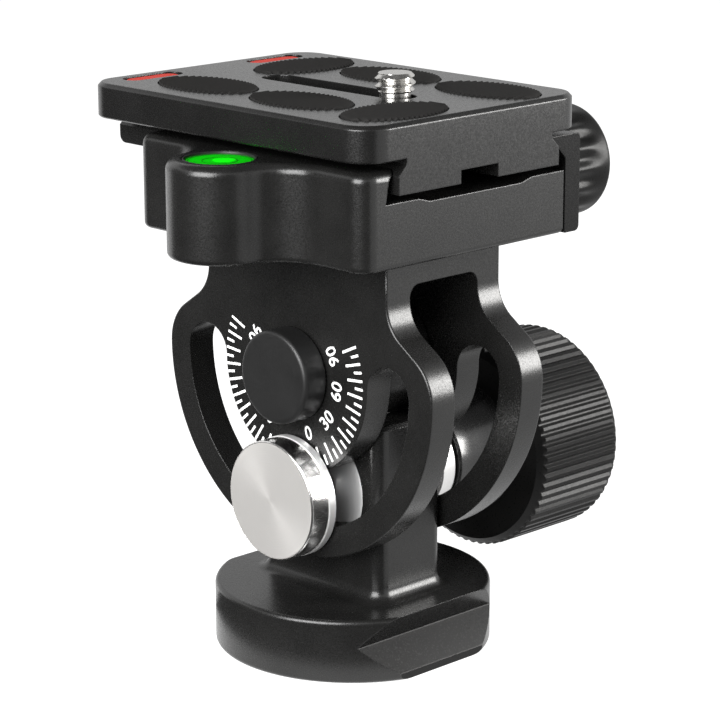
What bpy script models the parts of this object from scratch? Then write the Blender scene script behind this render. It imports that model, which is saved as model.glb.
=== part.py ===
"""A one-axis tilt head with a dovetail clamp and quick-release plate.

Metres, +Z up, standing on its foot at the origin. X runs along the plate, Y along the tilt axis,
with the dial on the -Y side and the lock knob on the +Y side.
"""

import math

import bmesh
import bpy
from mathutils import Matrix, Vector

# Clearances, overruns and how close two points are before they are welded
FIT_GAP = 0.0003
SEAM_GAP = 0.00015
OVERRUN = 0.002
WELD_DISTANCE = 0.0000001
TURNED_WELD_DISTANCE = 0.000001
SHARP_ANGLE = math.radians(35)

# Foot. Its groove is cut this far in from the rim, at these shares of its height
FOOT_RADIUS = 0.0225
FOOT_HEIGHT = 0.0105
FOOT_EDGE = 0.0008
GROOVE_TOP_CUT = 0.0025
GROOVE_WAIST_CUT = 0.0059
GROOVE_FOOT_CUT = 0.0020
GROOVE_WAIST_SHARE = 0.562
GROOVE_FOOT_SHARE = 0.114
SOCKET_SHARE = 0.91
SOCKET_IN_POST = 0.0020
STUD_BORE_RADIUS = 0.0040

# Post and its hub
POST_WIDTH_SHARE = 0.6
POST_HALF_Y = 0.00725
POST_CORNER = 0.0022
POST_FILLET = 0.0023
LEDGE_DROP = 0.0078
LEDGE_CHAMFER = 0.0006
HUB_RADIUS = 0.0107

# Pivot
SHAFT_RADIUS = 0.0040
PIVOT_CAP_RADIUS = 0.0075
PIVOT_CAP_THICKNESS = 0.0045
PIVOT_CAP_CHAMFER = 0.0007
PIVOT_WASHER_INSET = 0.0031
PIVOT_WASHER_THICKNESS = 0.0009

# Lock. The discs round the bolt are shares of how far it lies below the pivot
BOLT_ABOVE_FOOT = 0.0166
BOLT_DROP = 0.0200
BOLT_RADIUS = 0.0025
BOLT_IN_KNOB = 0.01913
LOCK_CAP_SHARE = 0.483
LOCK_CAP_THICKNESS = 0.0053
LOCK_CAP_CHAMFER = 0.0003
LOCK_CAP_RING = 0.0016
LOCK_CAP_RING_STEP = 0.0003
FRICTION_SHARE = 0.48
FRICTION_THICKNESS = 0.0012
BUSH_RADIUS = 0.0037
COLLAR_SHARE = 0.405
COLLAR_THICKNESS = 0.0032
COLLAR_CHAMFER = 0.0005

# Lock knob
LOCK_KNOB_RADIUS = 0.0175
LOCK_KNOB_LENGTH = 0.0193
LOCK_KNOB_HUB_LENGTH = 0.01023
LOCK_KNOB_HUB_NEAR_RADIUS = 0.0088
LOCK_KNOB_HUB_FAR_RADIUS = 0.0110
LOCK_KNOB_CHAMFER = 0.0008
KNURL_COUNT = 60
KNURL_DEPTH = 0.00055
INSERT_RADIUS = 0.0050
INSERT_LENGTH = 0.0150
LOCK_KNOB_CAP_RADIUS = 0.0080
KNOB_CAP_THICKNESS = 0.0014

# Yoke. The slot leaves this much room on each side of the bolt, and its neck and shoulders
# are shares of the round side plate's radius
YOKE_SIDE_GAP = 0.00025
SIDE_PLATE_THICKNESS = 0.00507
SLOT_INSIDE_BOLT = 0.0039
SLOT_OUTSIDE_BOLT = 0.0052
CHEEK_WALL = 0.0048
NECK_SHARE = 0.68
SHOULDER_INNER_SHARE = 0.3633
SHOULDER_OUTER_SHARE = 0.1433
SHOULDER_INNER_FILLET_SHARE = 0.22
SHOULDER_OUTER_FILLET_SHARE = 0.2667
WEB_RISE = 0.0166
WEB_THICKNESS = 0.00445
WINDOW_CORNER = 0.0020
TILT_LIMIT = math.radians(90)

# Clamp body
CLAMP_HALF_X = 0.0258
CLAMP_CORNER = 0.0030
CLAMP_FLOOR_THICKNESS = 0.0101
FIXED_JAW_THICKNESS = 0.0064
FIXED_JAW_RISE = 0.0008
BACK_LEDGE = 0.0024
FLOOR_GROOVE_DEPTH = 0.00065
FLOOR_GROOVE_FRONT_INSET = 0.0076
FLOOR_GROOVE_BACK_INSET = 0.0075
FLOOR_GROOVE_RAMP = 0.0024
JAW_ROOT_REACH = 0.0018
LIP_HEIGHT = 0.00155
LIP_GAP = 0.00035
BOSS_RADIUS = 0.0082
BOSS_REACH = 0.0050
BOSS_FILLET = 0.0080
CLAMP_TOP_ROUNDING = 0.0016
CLAMP_ROUNDING_STEPS = 3

# Quick-release plate
DOVETAIL_WIDTH = 0.0352
DOVETAIL_SHIFT = 0.0013
DOVETAIL_THICKNESS = 0.0029
DOVETAIL_BEVEL = 0.0016
PLATE_LIFT = 0.0013
THROAT_HEIGHT = 0.0007
FLANGE_THICKNESS = 0.0056
PLATE_LEFT_OVERHANG = 0.0115
PLATE_RIGHT_OVERHANG = 0.0010
PLATE_FRONT_OVERHANG = 0.0070
PLATE_BACK_OVERHANG = 0.0060
PLATE_CORNER = 0.0050
PLATE_EDGE_CHAMFER = 0.0006
CHANNEL_HALF_WIDTH = 0.0041
CHANNEL_DEPTH = 0.0021
CHANNEL_SHIFT = 0.0002
POCKET_HALF_WIDTH = 0.0072
POCKET_ROOF = 0.0045
SLOT_HALF_WIDTH = 0.0028
# Where the pocket, the slot and the screw lie, from the plate's middle, as shares of its length
POCKET_LEFT_SHARE = -0.30811
POCKET_RIGHT_SHARE = 0.33151
SLOT_LEFT_SHARE = -0.23791
SLOT_RIGHT_SHARE = 0.27379
CAMERA_SCREW_SHARE = 0.21763
# A round end is this share of half the slot's width, so that its two corners never meet in one point
ROUND_END_SHARE = 0.999

# Rubber pads and red inserts, in shares of the plate's length and width
PAD_LONG_X_SHARE = 0.15211
PAD_SHORT_X_SHARE = 0.0936
PAD_LONG_Y_SHARE = 0.20228
PAD_SHORT_Y_SHARE = 0.12448
PAD_STANDS_PROUD = 0.0004
PAD_THICKNESS = 0.0016
# Each pad's place from the plate's middle, and whether it lies along X
PAD_PLACE_SHARES = (
    (-0.221, -0.282, True),
    (0.115, -0.280, True),
    (0.385, -0.222, False),
    (-0.283, 0.230, False),
    (-0.013, 0.288, True),
    (0.322, 0.291, True),
)
INSERT_FROM_END = 0.0041
INSERT_PLACE_SHARES = (-0.276, 0.280)
INSERT_HALF_LENGTH = 0.0048
INSERT_HALF_WIDTH = 0.0015
INSERT_RECESS_DEPTH = 0.0016
INSERT_SUNK = 0.0001

# Camera screw
CAMERA_SCREW_RADIUS = 0.003175
CAMERA_SCREW_SHANK = 0.00245
CAMERA_SCREW_HEIGHT = 0.0037
CAMERA_SCREW_NECK = 0.0007
CAMERA_SCREW_CHAMFER = 0.0006
SCREW_HEAD_RADIUS = 0.0060
SCREW_HEAD_THICKNESS = 0.0026
SCREW_DRIVE_WIDTH = 0.0012
SCREW_DRIVE_DEPTH = 0.0012
CARRIAGE_HALF_X = 0.0060
CARRIAGE_SIDE_ROOM = 0.0006
CARRIAGE_THICKNESS = 0.0012

# Bull's-eye level
LEVEL_INSET = 0.0025
LEVEL_CUP_WALL = 0.00035
LEVEL_DEPTH = 0.0056
LEVEL_FLOOR = 0.0007
LENS_THICKNESS = 0.0009
LENS_CROWN = 0.0003
LENS_SHOULDER_SHARE = 0.25

# Loose jaw, its pins and screws
JAW_THICKNESS = 0.0037
JAW_BELOW_FLANGE = 0.0009
JAW_TIP_HEIGHT = 0.0001
JAW_REST_GAP = 0.0006
JAW_ROUNDING = 0.0009
PIN_X = 0.0170
PIN_RISE = 0.0052
PIN_RADIUS = 0.0020
PIN_DEPTH = 0.0130
YOKE_SCREW_X = 0.0090
YOKE_SCREW_RADIUS = 0.0020
YOKE_SCREW_HEAD_RADIUS = 0.0035
YOKE_SCREW_HEAD_THICKNESS = 0.0024
YOKE_SCREW_DRIVE = 0.0015
CLAMP_SCREW_RISE = 0.0047
CLAMP_SCREW_RADIUS = 0.0030
CLAMP_SCREW_DEPTH = 0.0180

# Clamp knob
CLAMP_KNOB_RADIUS = 0.00955
CLAMP_KNOB_LENGTH = 0.0243
CLAMP_KNOB_NECK_RADIUS = 0.0062
CLAMP_KNOB_NECK = 0.0012
CLAMP_KNOB_RIM = 0.0022
CLAMP_KNOB_CHAMFER = 0.0008
CLAMP_KNOB_CAP_RADIUS = 0.0058
CLAMP_WASHER_RADIUS = 0.0064
CLAMP_WASHER_THICKNESS = 0.0009
FLUTE_COUNT = 16
FLUTE_DEPTH = 0.0009
# Across one flute: where each point lies round it, and how deep, as shares of its width and depth
FLUTE_SHARES = ((0.0, 0.0), (0.12, 0.0), (0.24, 0.62), (0.42, 1.0), (0.70, 1.0), (0.88, 0.62))

# Counts of flat sides, which have no length
FINE_SIDES = 56
SIDES = 40
SMALL_SIDES = 24
HEX_SIDES = 6
CORNER_STEPS = 5
ARC_STEPS = 40

# Heights that follow from the sizes above, from the foot upwards
BOLT_HEIGHT = FOOT_HEIGHT + BOLT_ABOVE_FOOT
PIVOT_HEIGHT = BOLT_HEIGHT + BOLT_DROP
LEDGE_HEIGHT = PIVOT_HEIGHT - LEDGE_DROP
WEB_UNDERSIDE = PIVOT_HEIGHT + WEB_RISE
YOKE_TOP = WEB_UNDERSIDE + WEB_THICKNESS
CLAMP_BOTTOM = YOKE_TOP + SEAM_GAP
CLAMP_FLOOR = CLAMP_BOTTOM + CLAMP_FLOOR_THICKNESS
DOVETAIL_UNDERSIDE = CLAMP_FLOOR + PLATE_LIFT
DOVETAIL_SHOULDER = DOVETAIL_UNDERSIDE + DOVETAIL_THICKNESS
FLANGE_UNDERSIDE = DOVETAIL_SHOULDER + DOVETAIL_BEVEL + THROAT_HEIGHT
PLATE_TOP = FLANGE_UNDERSIDE + FLANGE_THICKNESS
POCKET_CEILING = PLATE_TOP - POCKET_ROOF
CLAMP_TOP = DOVETAIL_SHOULDER + FIXED_JAW_RISE
JAW_TOP = FLANGE_UNDERSIDE - JAW_BELOW_FLANGE
PIN_HEIGHT = CLAMP_BOTTOM + PIN_RISE
CLAMP_SCREW_HEIGHT = CLAMP_BOTTOM + CLAMP_SCREW_RISE

# Foot and post
POST_HALF_X = FOOT_RADIUS * POST_WIDTH_SHARE
GROOVE_TOP_X = FOOT_RADIUS - GROOVE_TOP_CUT
GROOVE_WAIST_X = FOOT_RADIUS - GROOVE_WAIST_CUT
GROOVE_FOOT_X = FOOT_RADIUS - GROOVE_FOOT_CUT
GROOVE_WAIST_HEIGHT = FOOT_HEIGHT * GROOVE_WAIST_SHARE
GROOVE_FOOT_HEIGHT = FOOT_HEIGHT * GROOVE_FOOT_SHARE
SOCKET_RADIUS = POST_HALF_Y * SOCKET_SHARE
SOCKET_DEPTH = FOOT_HEIGHT + SOCKET_IN_POST
PIVOT_WASHER_RADIUS = HUB_RADIUS - PIVOT_WASHER_INSET

# Along the tilt axis, from the post outwards
YOKE_INNER_Y = POST_HALF_Y + YOKE_SIDE_GAP
YOKE_OUTER_Y = YOKE_INNER_Y + SIDE_PLATE_THICKNESS
LOCK_CAP_BACK = -YOKE_OUTER_Y - FIT_GAP
LOCK_CAP_FRONT = LOCK_CAP_BACK - LOCK_CAP_THICKNESS
COLLAR_START = YOKE_OUTER_Y + FIT_GAP
LOCK_KNOB_HUB_START = COLLAR_START + COLLAR_THICKNESS + FIT_GAP
LOCK_KNOB_START = LOCK_KNOB_HUB_START + LOCK_KNOB_HUB_LENGTH
LOCK_KNOB_END = LOCK_KNOB_START + LOCK_KNOB_LENGTH
BOLT_REACH = LOCK_KNOB_HUB_START + BOLT_IN_KNOB
LOCK_CAP_RADIUS = BOLT_DROP * LOCK_CAP_SHARE
FRICTION_RADIUS = BOLT_DROP * FRICTION_SHARE
COLLAR_RADIUS = BOLT_DROP * COLLAR_SHARE

# Yoke
SLOT_INNER_RADIUS = BOLT_DROP - SLOT_INSIDE_BOLT
SLOT_OUTER_RADIUS = BOLT_DROP + SLOT_OUTSIDE_BOLT
CHEEK_RADIUS = SLOT_OUTER_RADIUS + CHEEK_WALL
NECK_HALF_X = CHEEK_RADIUS * NECK_SHARE
SHOULDER_INNER_RISE = CHEEK_RADIUS * SHOULDER_INNER_SHARE
SHOULDER_OUTER_RISE = CHEEK_RADIUS * SHOULDER_OUTER_SHARE
SHOULDER_INNER_FILLET = CHEEK_RADIUS * SHOULDER_INNER_FILLET_SHARE
SHOULDER_OUTER_FILLET = CHEEK_RADIUS * SHOULDER_OUTER_FILLET_SHARE

# Clamp and plate, which both follow from the dovetail
DOVETAIL_FRONT = DOVETAIL_SHIFT - DOVETAIL_WIDTH / 2
DOVETAIL_BACK = DOVETAIL_SHIFT + DOVETAIL_WIDTH / 2
CLAMP_FRONT = DOVETAIL_FRONT - FIXED_JAW_THICKNESS
CLAMP_BACK = DOVETAIL_BACK + BACK_LEDGE
JAW_ROOT = DOVETAIL_FRONT - JAW_ROOT_REACH
FLOOR_GROOVE_FRONT = DOVETAIL_FRONT + FLOOR_GROOVE_FRONT_INSET
FLOOR_GROOVE_BACK = DOVETAIL_BACK - FLOOR_GROOVE_BACK_INSET
BOSS_Y = CLAMP_FRONT - BOSS_REACH
LEVEL_CUP_RADIUS = BOSS_RADIUS - LEVEL_INSET
JAW_FRONT = CLAMP_BACK + FIT_GAP
JAW_BACK = CLAMP_BACK + JAW_THICKNESS
CLAMP_WASHER_START = JAW_BACK + FIT_GAP
CLAMP_KNOB_NECK_START = CLAMP_WASHER_START + CLAMP_WASHER_THICKNESS + FIT_GAP
CLAMP_KNOB_START = CLAMP_KNOB_NECK_START + CLAMP_KNOB_NECK
CLAMP_KNOB_END = CLAMP_KNOB_START + CLAMP_KNOB_LENGTH
PLATE_LEFT = -CLAMP_HALF_X - PLATE_LEFT_OVERHANG
PLATE_RIGHT = CLAMP_HALF_X + PLATE_RIGHT_OVERHANG
PLATE_FRONT = DOVETAIL_FRONT - PLATE_FRONT_OVERHANG
PLATE_BACK = DOVETAIL_BACK + PLATE_BACK_OVERHANG
PLATE_MIDDLE_X = (PLATE_LEFT + PLATE_RIGHT) / 2
PLATE_MIDDLE_Y = (PLATE_FRONT + PLATE_BACK) / 2
PLATE_LENGTH = PLATE_RIGHT - PLATE_LEFT
PLATE_WIDTH = PLATE_BACK - PLATE_FRONT
CHANNEL_MIDDLE_Y = PLATE_MIDDLE_Y + CHANNEL_SHIFT
POCKET_LEFT = PLATE_MIDDLE_X + PLATE_LENGTH * POCKET_LEFT_SHARE
POCKET_RIGHT = PLATE_MIDDLE_X + PLATE_LENGTH * POCKET_RIGHT_SHARE
SLOT_LEFT = PLATE_MIDDLE_X + PLATE_LENGTH * SLOT_LEFT_SHARE
SLOT_RIGHT = PLATE_MIDDLE_X + PLATE_LENGTH * SLOT_RIGHT_SHARE
CAMERA_SCREW_X = PLATE_MIDDLE_X + PLATE_LENGTH * CAMERA_SCREW_SHARE
CARRIAGE_HALF_Y = POCKET_HALF_WIDTH - CARRIAGE_SIDE_ROOM

# Turns a shape made along local Z, with its outline in local X and Y
ALONG_X = Matrix(((0, 0, 1, 0), (1, 0, 0, 0), (0, 1, 0, 0), (0, 0, 0, 1)))
ALONG_Y = Matrix.Rotation(-math.pi / 2, 4, "X")
OUTLINE_IN_XZ = Matrix.Rotation(math.pi / 2, 4, "X")
ALONG_Z = Matrix.Identity(4)


def clear_scene():
    for old in list(bpy.data.objects):
        bpy.data.objects.remove(old, do_unlink=True)


def collection(name):
    made = bpy.data.collections.new(name)
    bpy.context.scene.collection.children.link(made)
    return made


def material(name, colour, roughness, metallic, alpha=1.0):
    made = bpy.data.materials.new(name)
    made.use_nodes = True
    shader = made.node_tree.nodes["Principled BSDF"]
    shader.inputs["Base Color"].default_value = (*colour, 1.0)
    shader.inputs["Roughness"].default_value = roughness
    shader.inputs["Metallic"].default_value = metallic
    shader.inputs["Alpha"].default_value = alpha
    made.diffuse_color = (*colour, alpha)
    return made


def place(name, mesh, finish, matrix):
    """A named object for one piece, in the part's collection."""
    made = bpy.data.objects.new(name, mesh)
    made.matrix_world = matrix
    PIECES.objects.link(made)
    mesh.materials.append(finish)
    return made


def mesh_from(name, bm):
    mesh = bpy.data.meshes.new(name)
    bmesh.ops.recalc_face_normals(bm, faces=bm.faces)
    bm.to_mesh(mesh)
    bm.free()
    mesh.shade_smooth()
    mesh.set_sharp_from_angle(angle=SHARP_ANGLE)
    return mesh


def turned(name, profile, centre, matrix, finish, sides=SIDES, tube=False):
    """A turned piece. Its profile runs from the top end, down the outside, to the bottom end."""
    mesh = bpy.data.meshes.new(name)
    points = [(radius, 0, height) for radius, height in profile]
    edges = [(index, index + 1) for index in range(len(points) - 1)]
    if tube:
        edges.append((len(points) - 1, 0))
    mesh.from_pydata(points, edges, [])
    made = place(name, mesh, finish, Matrix.Translation(centre) @ matrix)
    screw = made.modifiers.new("turn", "SCREW")
    screw.steps = sides
    screw.render_steps = sides
    screw.use_merge_vertices = True
    screw.merge_threshold = TURNED_WELD_DISTANCE
    return made


def extruded(name, outline, low, high, matrix, finish):
    """An outline in local X and Y, extruded along local Z from low to high, as a mesh."""
    curve = bpy.data.curves.new(name + "_outline", "CURVE")
    curve.dimensions = "2D"
    curve.fill_mode = "BOTH"
    curve.extrude = (high - low) / 2
    spline = curve.splines.new("POLY")
    spline.points.add(len(outline) - 1)
    for point, (x, y) in zip(spline.points, outline):
        point.co = (x, y, 0, 1)
    spline.use_cyclic_u = True
    drawn = bpy.data.objects.new(name + "_outline", curve)
    PIECES.objects.link(drawn)
    graph = bpy.context.evaluated_depsgraph_get()
    mesh = bpy.data.meshes.new_from_object(drawn.evaluated_get(graph))
    bpy.data.objects.remove(drawn, do_unlink=True)
    bm = bmesh.new()
    bm.from_mesh(mesh)
    bmesh.ops.remove_doubles(bm, verts=bm.verts, dist=WELD_DISTANCE)
    bmesh.ops.translate(bm, verts=bm.verts, vec=(0, 0, (low + high) / 2))
    bpy.data.meshes.remove(mesh)
    return place(name, mesh_from(name, bm), finish, matrix)


def lofted(name, rings, finish):
    """A closed skin over rings of equally many points, which runs from the first ring to the last."""
    bm = bmesh.new()
    rows = [[bm.verts.new(point) for point in ring] for ring in rings]
    for lower, upper in zip(rows, rows[1:]):
        for index in range(len(lower)):
            after = (index + 1) % len(lower)
            bm.faces.new((lower[index], lower[after], upper[after], upper[index]))
    bm.faces.new(rows[0])
    bm.faces.new(rows[-1])
    return place(name, mesh_from(name, bm), finish, Matrix.Identity(4))


def cylinder(name, start, matrix, radius, length, finish, sides=SMALL_SIDES):
    """A plain rod from start, along the matrix's Z."""
    bm = bmesh.new()
    bmesh.ops.create_cone(bm, cap_ends=True, segments=sides, radius1=radius, radius2=radius, depth=length)
    bmesh.ops.translate(bm, verts=bm.verts, vec=(0, 0, length / 2))
    return place(name, mesh_from(name, bm), finish, Matrix.Translation(start) @ matrix)


def box(name, low, high, finish):
    bm = bmesh.new()
    bmesh.ops.create_cube(bm, size=1)
    size = [b - a for a, b in zip(low, high)]
    middle = [(a + b) / 2 for a, b in zip(low, high)]
    bmesh.ops.scale(bm, verts=bm.verts, vec=size)
    bmesh.ops.translate(bm, verts=bm.verts, vec=middle)
    return place(name, mesh_from(name, bm), finish, Matrix.Identity(4))


def use_tool(target, tool, operation):
    """Cuts the tool out of the target, or joins it on, and keeps the tool as a hidden helper."""
    PIECES.objects.unlink(tool)
    TOOLS.objects.link(tool)
    tool.hide_render = True
    tool.display_type = "WIRE"
    step = target.modifiers.new(tool.name, "BOOLEAN")
    step.operation = operation
    step.solver = "EXACT"
    step.object = tool


def cut(target, tool):
    use_tool(target, tool, "DIFFERENCE")


def join(target, tool):
    use_tool(target, tool, "UNION")


def drill(target, name, start, matrix, radius, length, sides=SMALL_SIDES):
    cut(target, cylinder(name, start, matrix, radius, length, TOOL_FINISH, sides))


def carry(name, at, pieces, parent=None):
    """An empty on a joint's axis that carries the pieces which move with it."""
    empty = bpy.data.objects.new(name, None)
    PIECES.objects.link(empty)
    empty.matrix_world = Matrix.Translation(at)
    for piece in pieces:
        piece.parent = empty
        piece.matrix_parent_inverse = Matrix.Translation(at).inverted()
    if parent:
        empty.parent = parent[0]
        empty.matrix_parent_inverse = Matrix.Translation(parent[1]).inverted()
    return empty, at


def arc(centre_x, centre_y, radius, start, end, steps):
    """Points along an arc, both ends included."""
    angles = [start + (end - start) * step / steps for step in range(steps + 1)]
    return [(centre_x + radius * math.cos(a), centre_y + radius * math.sin(a)) for a in angles]


def rounded(corners, steps=CORNER_STEPS):
    """The outline through corners, each given as x, y and the radius it is rounded to."""
    points = []
    for index, (x, y, radius) in enumerate(corners):
        if radius == 0:
            points.append((x, y))
            continue
        here = Vector((x, y))
        before = (Vector(corners[index - 1][:2]) - here).normalized()
        after = (Vector(corners[(index + 1) % len(corners)][:2]) - here).normalized()
        half = before.angle(after) / 2
        centre = here + (before + after).normalized() * (radius / math.sin(half))
        start = here + before * (radius / math.tan(half)) - centre
        end = here + after * (radius / math.tan(half)) - centre
        first = math.atan2(start.y, start.x)
        turn = math.remainder(math.atan2(end.y, end.x) - first, 2 * math.pi)
        points += arc(centre.x, centre.y, radius, first, first + turn, steps)
    return points


def rounded_box(left, right, front, back, radius, steps=CORNER_STEPS):
    corners = ((right, front), (right, back), (left, back), (left, front))
    return rounded([(x, y, radius) for x, y in corners], steps)


def stadium(centre_x, centre_y, half_x, half_y, steps=8):
    """A slot outline with round ends, along whichever way is longer."""
    end = min(half_x, half_y)
    return rounded_box(centre_x - half_x, centre_x + half_x, centre_y - half_y, centre_y + half_y,
                       end * ROUND_END_SHARE, steps)


def oval(centre_x, centre_y, radius_x, radius_y, sides=SIDES):
    angles = [2 * math.pi * side / sides for side in range(sides)]
    return [(centre_x + radius_x * math.cos(a), centre_y + radius_y * math.sin(a)) for a in angles]


def at_height(outline, z):
    return [(x, y, z) for x, y in outline]


def about_axis(y, height, radii):
    """A ring round an axis along Y, with one point for each radius."""
    angles = [2 * math.pi * index / len(radii) for index in range(len(radii))]
    return [(r * math.sin(a), y, height + r * math.cos(a)) for r, a in zip(radii, angles)]


def make_foot():
    """The round foot, its V grooves, the filleted post and the pivot hub, as one casting."""
    edge = FOOT_EDGE
    profile = [
        (0, FOOT_HEIGHT),
        (FOOT_RADIUS - edge, FOOT_HEIGHT),
        (FOOT_RADIUS, FOOT_HEIGHT - edge),
        (FOOT_RADIUS, edge),
        (FOOT_RADIUS - edge, 0),
        (0, 0),
    ]
    foot = turned("base_post", profile, (0, 0, 0), ALONG_Z, BLACK, FINE_SIDES)
    outside = FOOT_RADIUS + OVERRUN
    groove = [
        (outside, -OVERRUN),
        (GROOVE_FOOT_X, -OVERRUN),
        (GROOVE_FOOT_X, GROOVE_FOOT_HEIGHT),
        (GROOVE_WAIST_X, GROOVE_WAIST_HEIGHT),
        (GROOVE_TOP_X, FOOT_HEIGHT),
        (GROOVE_TOP_X, FOOT_HEIGHT + OVERRUN),
        (outside, FOOT_HEIGHT + OVERRUN),
    ]
    for side, name in ((1, "groove_right"), (-1, "groove_left")):
        outline = [(side * x, z) for x, z in groove]
        cut(foot, extruded(name, outline, -outside, outside, OUTLINE_IN_XZ, TOOL_FINISH))
    join(foot, make_post())
    hub = cylinder("hub", (0, -POST_HALF_Y, PIVOT_HEIGHT), ALONG_Y, HUB_RADIUS, 2 * POST_HALF_Y, BLACK, SIDES)
    join(foot, hub)
    through = 2 * (POST_HALF_Y + OVERRUN)
    start = -POST_HALF_Y - OVERRUN
    drill(foot, "shaft_bore", (0, start, PIVOT_HEIGHT), ALONG_Y, SHAFT_RADIUS + FIT_GAP, through)
    drill(foot, "bolt_bore", (0, start, BOLT_HEIGHT), ALONG_Y, BOLT_RADIUS + FIT_GAP, through)
    drill(foot, "stud_socket", (0, 0, -OVERRUN), ALONG_Z, SOCKET_RADIUS, SOCKET_DEPTH + OVERRUN, SIDES)
    for side, name in ((-1, "near"), (1, "far")):
        depth = PIVOT_WASHER_THICKNESS + FIT_GAP
        low = min(side * (POST_HALF_Y - depth), side * (POST_HALF_Y + OVERRUN))
        drill(foot, "pivot_seat_" + name, (0, low, PIVOT_HEIGHT), ALONG_Y,
              PIVOT_WASHER_RADIUS + FIT_GAP, depth + OVERRUN, SIDES)
        depth = FRICTION_THICKNESS
        low = min(side * (POST_HALF_Y - depth), side * (POST_HALF_Y + OVERRUN))
        drill(foot, "friction_seat_" + name, (0, low, BOLT_HEIGHT), ALONG_Y,
              FRICTION_RADIUS + SEAM_GAP, depth + OVERRUN, SIDES)
    return foot


def make_post():
    """The post from inside the foot up to the ledge, flared at its root by the fillet."""
    rings = []

    def ring(z, flare):
        outline = rounded_box(-POST_HALF_X - flare, POST_HALF_X + flare,
                              -POST_HALF_Y - flare, POST_HALF_Y + flare, POST_CORNER + flare)
        rings.append(at_height(outline, z))

    ring(FOOT_HEIGHT - POST_FILLET, POST_FILLET)
    for step in range(CORNER_STEPS + 1):
        angle = math.pi / 2 * step / CORNER_STEPS
        ring(FOOT_HEIGHT + POST_FILLET * (1 - math.cos(angle)), POST_FILLET * (1 - math.sin(angle)))
    ring(LEDGE_HEIGHT - LEDGE_CHAMFER, 0)
    ring(LEDGE_HEIGHT, -LEDGE_CHAMFER)
    return lofted("post", rings, BLACK)


def make_stud_bushing():
    radius = SOCKET_RADIUS - FIT_GAP
    profile = [
        (STUD_BORE_RADIUS, SOCKET_DEPTH - FIT_GAP),
        (radius, SOCKET_DEPTH - FIT_GAP),
        (radius, FIT_GAP),
        (STUD_BORE_RADIUS, FIT_GAP),
    ]
    return turned("stud_bushing", profile, (0, 0, 0), ALONG_Z, STEEL, SIDES, tube=True)


def make_pivot():
    """The shaft, its two plain caps and the two washers let into the hub."""
    reach = YOKE_OUTER_Y + FIT_GAP + PIVOT_CAP_THICKNESS / 2
    shaft = cylinder("pivot_shaft", (0, -reach, PIVOT_HEIGHT), ALONG_Y, SHAFT_RADIUS, 2 * reach, STEEL)
    pieces = [shaft]
    bore = SHAFT_RADIUS + FIT_GAP
    base = YOKE_OUTER_Y + FIT_GAP
    top = base + PIVOT_CAP_THICKNESS
    blind = reach + FIT_GAP
    profile = [
        (0, top),
        (PIVOT_CAP_RADIUS - PIVOT_CAP_CHAMFER, top),
        (PIVOT_CAP_RADIUS, top - PIVOT_CAP_CHAMFER),
        (PIVOT_CAP_RADIUS, base),
        (bore, base),
        (bore, blind),
        (0, blind),
    ]
    washer_low = POST_HALF_Y - PIVOT_WASHER_THICKNESS
    washer = [
        (bore, POST_HALF_Y),
        (PIVOT_WASHER_RADIUS, POST_HALF_Y),
        (PIVOT_WASHER_RADIUS, washer_low),
        (bore, washer_low),
    ]
    for name, matrix in (("near", OUTLINE_IN_XZ), ("far", ALONG_Y)):
        centre = (0, 0, PIVOT_HEIGHT)
        pieces.append(turned("pivot_cap_" + name, profile, centre, matrix, BLACK, SIDES))
        pieces.append(turned("pivot_washer_" + name, washer, centre, matrix, BRONZE, SIDES, tube=True))
    return pieces


def make_lock():
    """The bolt through the post and what is threaded on it, apart from the knob."""
    start = LOCK_CAP_BACK - LOCK_CAP_THICKNESS / 2
    bolt = cylinder("lock_bolt", (0, start, BOLT_HEIGHT), ALONG_Y, BOLT_RADIUS, BOLT_REACH - start, STEEL)
    pieces = [bolt]
    bore = BOLT_RADIUS + FIT_GAP
    centre = (0, 0, BOLT_HEIGHT)
    front = -LOCK_CAP_FRONT
    back = -LOCK_CAP_BACK
    ring = back + LOCK_CAP_RING
    outer = LOCK_CAP_RADIUS + LOCK_CAP_RING_STEP
    profile = [
        (0, front),
        (LOCK_CAP_RADIUS - LOCK_CAP_CHAMFER, front),
        (LOCK_CAP_RADIUS, front - LOCK_CAP_CHAMFER),
        (LOCK_CAP_RADIUS, ring),
        (outer, ring - LOCK_CAP_RING_STEP),
        (outer, back),
        (bore, back),
        (bore, FIT_GAP - start),
        (0, FIT_GAP - start),
    ]
    pieces.append(turned("lock_cap", profile, centre, OUTLINE_IN_XZ, SILVER, FINE_SIDES))
    collar_end = COLLAR_START + COLLAR_THICKNESS
    collar = [
        (bore, collar_end),
        (COLLAR_RADIUS - COLLAR_CHAMFER, collar_end),
        (COLLAR_RADIUS, collar_end - COLLAR_CHAMFER),
        (COLLAR_RADIUS, COLLAR_START),
        (bore, COLLAR_START),
    ]
    pieces.append(turned("lock_collar", collar, centre, ALONG_Y, SILVER, SIDES, tube=True))
    face = POST_HALF_Y + SEAM_GAP / 2
    washer = [
        (bore, face),
        (FRICTION_RADIUS, face),
        (FRICTION_RADIUS, POST_HALF_Y - FRICTION_THICKNESS + SEAM_GAP),
        (bore, POST_HALF_Y - FRICTION_THICKNESS + SEAM_GAP),
    ]
    bush = [
        (bore, YOKE_OUTER_Y),
        (BUSH_RADIUS, YOKE_OUTER_Y),
        (BUSH_RADIUS, face + FIT_GAP),
        (bore, face + FIT_GAP),
    ]
    for name, matrix in (("near", OUTLINE_IN_XZ), ("far", ALONG_Y)):
        pieces.append(turned("friction_washer_" + name, washer, centre, matrix, GREY_METAL, SIDES, tube=True))
        pieces.append(turned("slot_bush_" + name, bush, centre, matrix, STEEL, SMALL_SIDES, tube=True))
    return pieces


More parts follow.
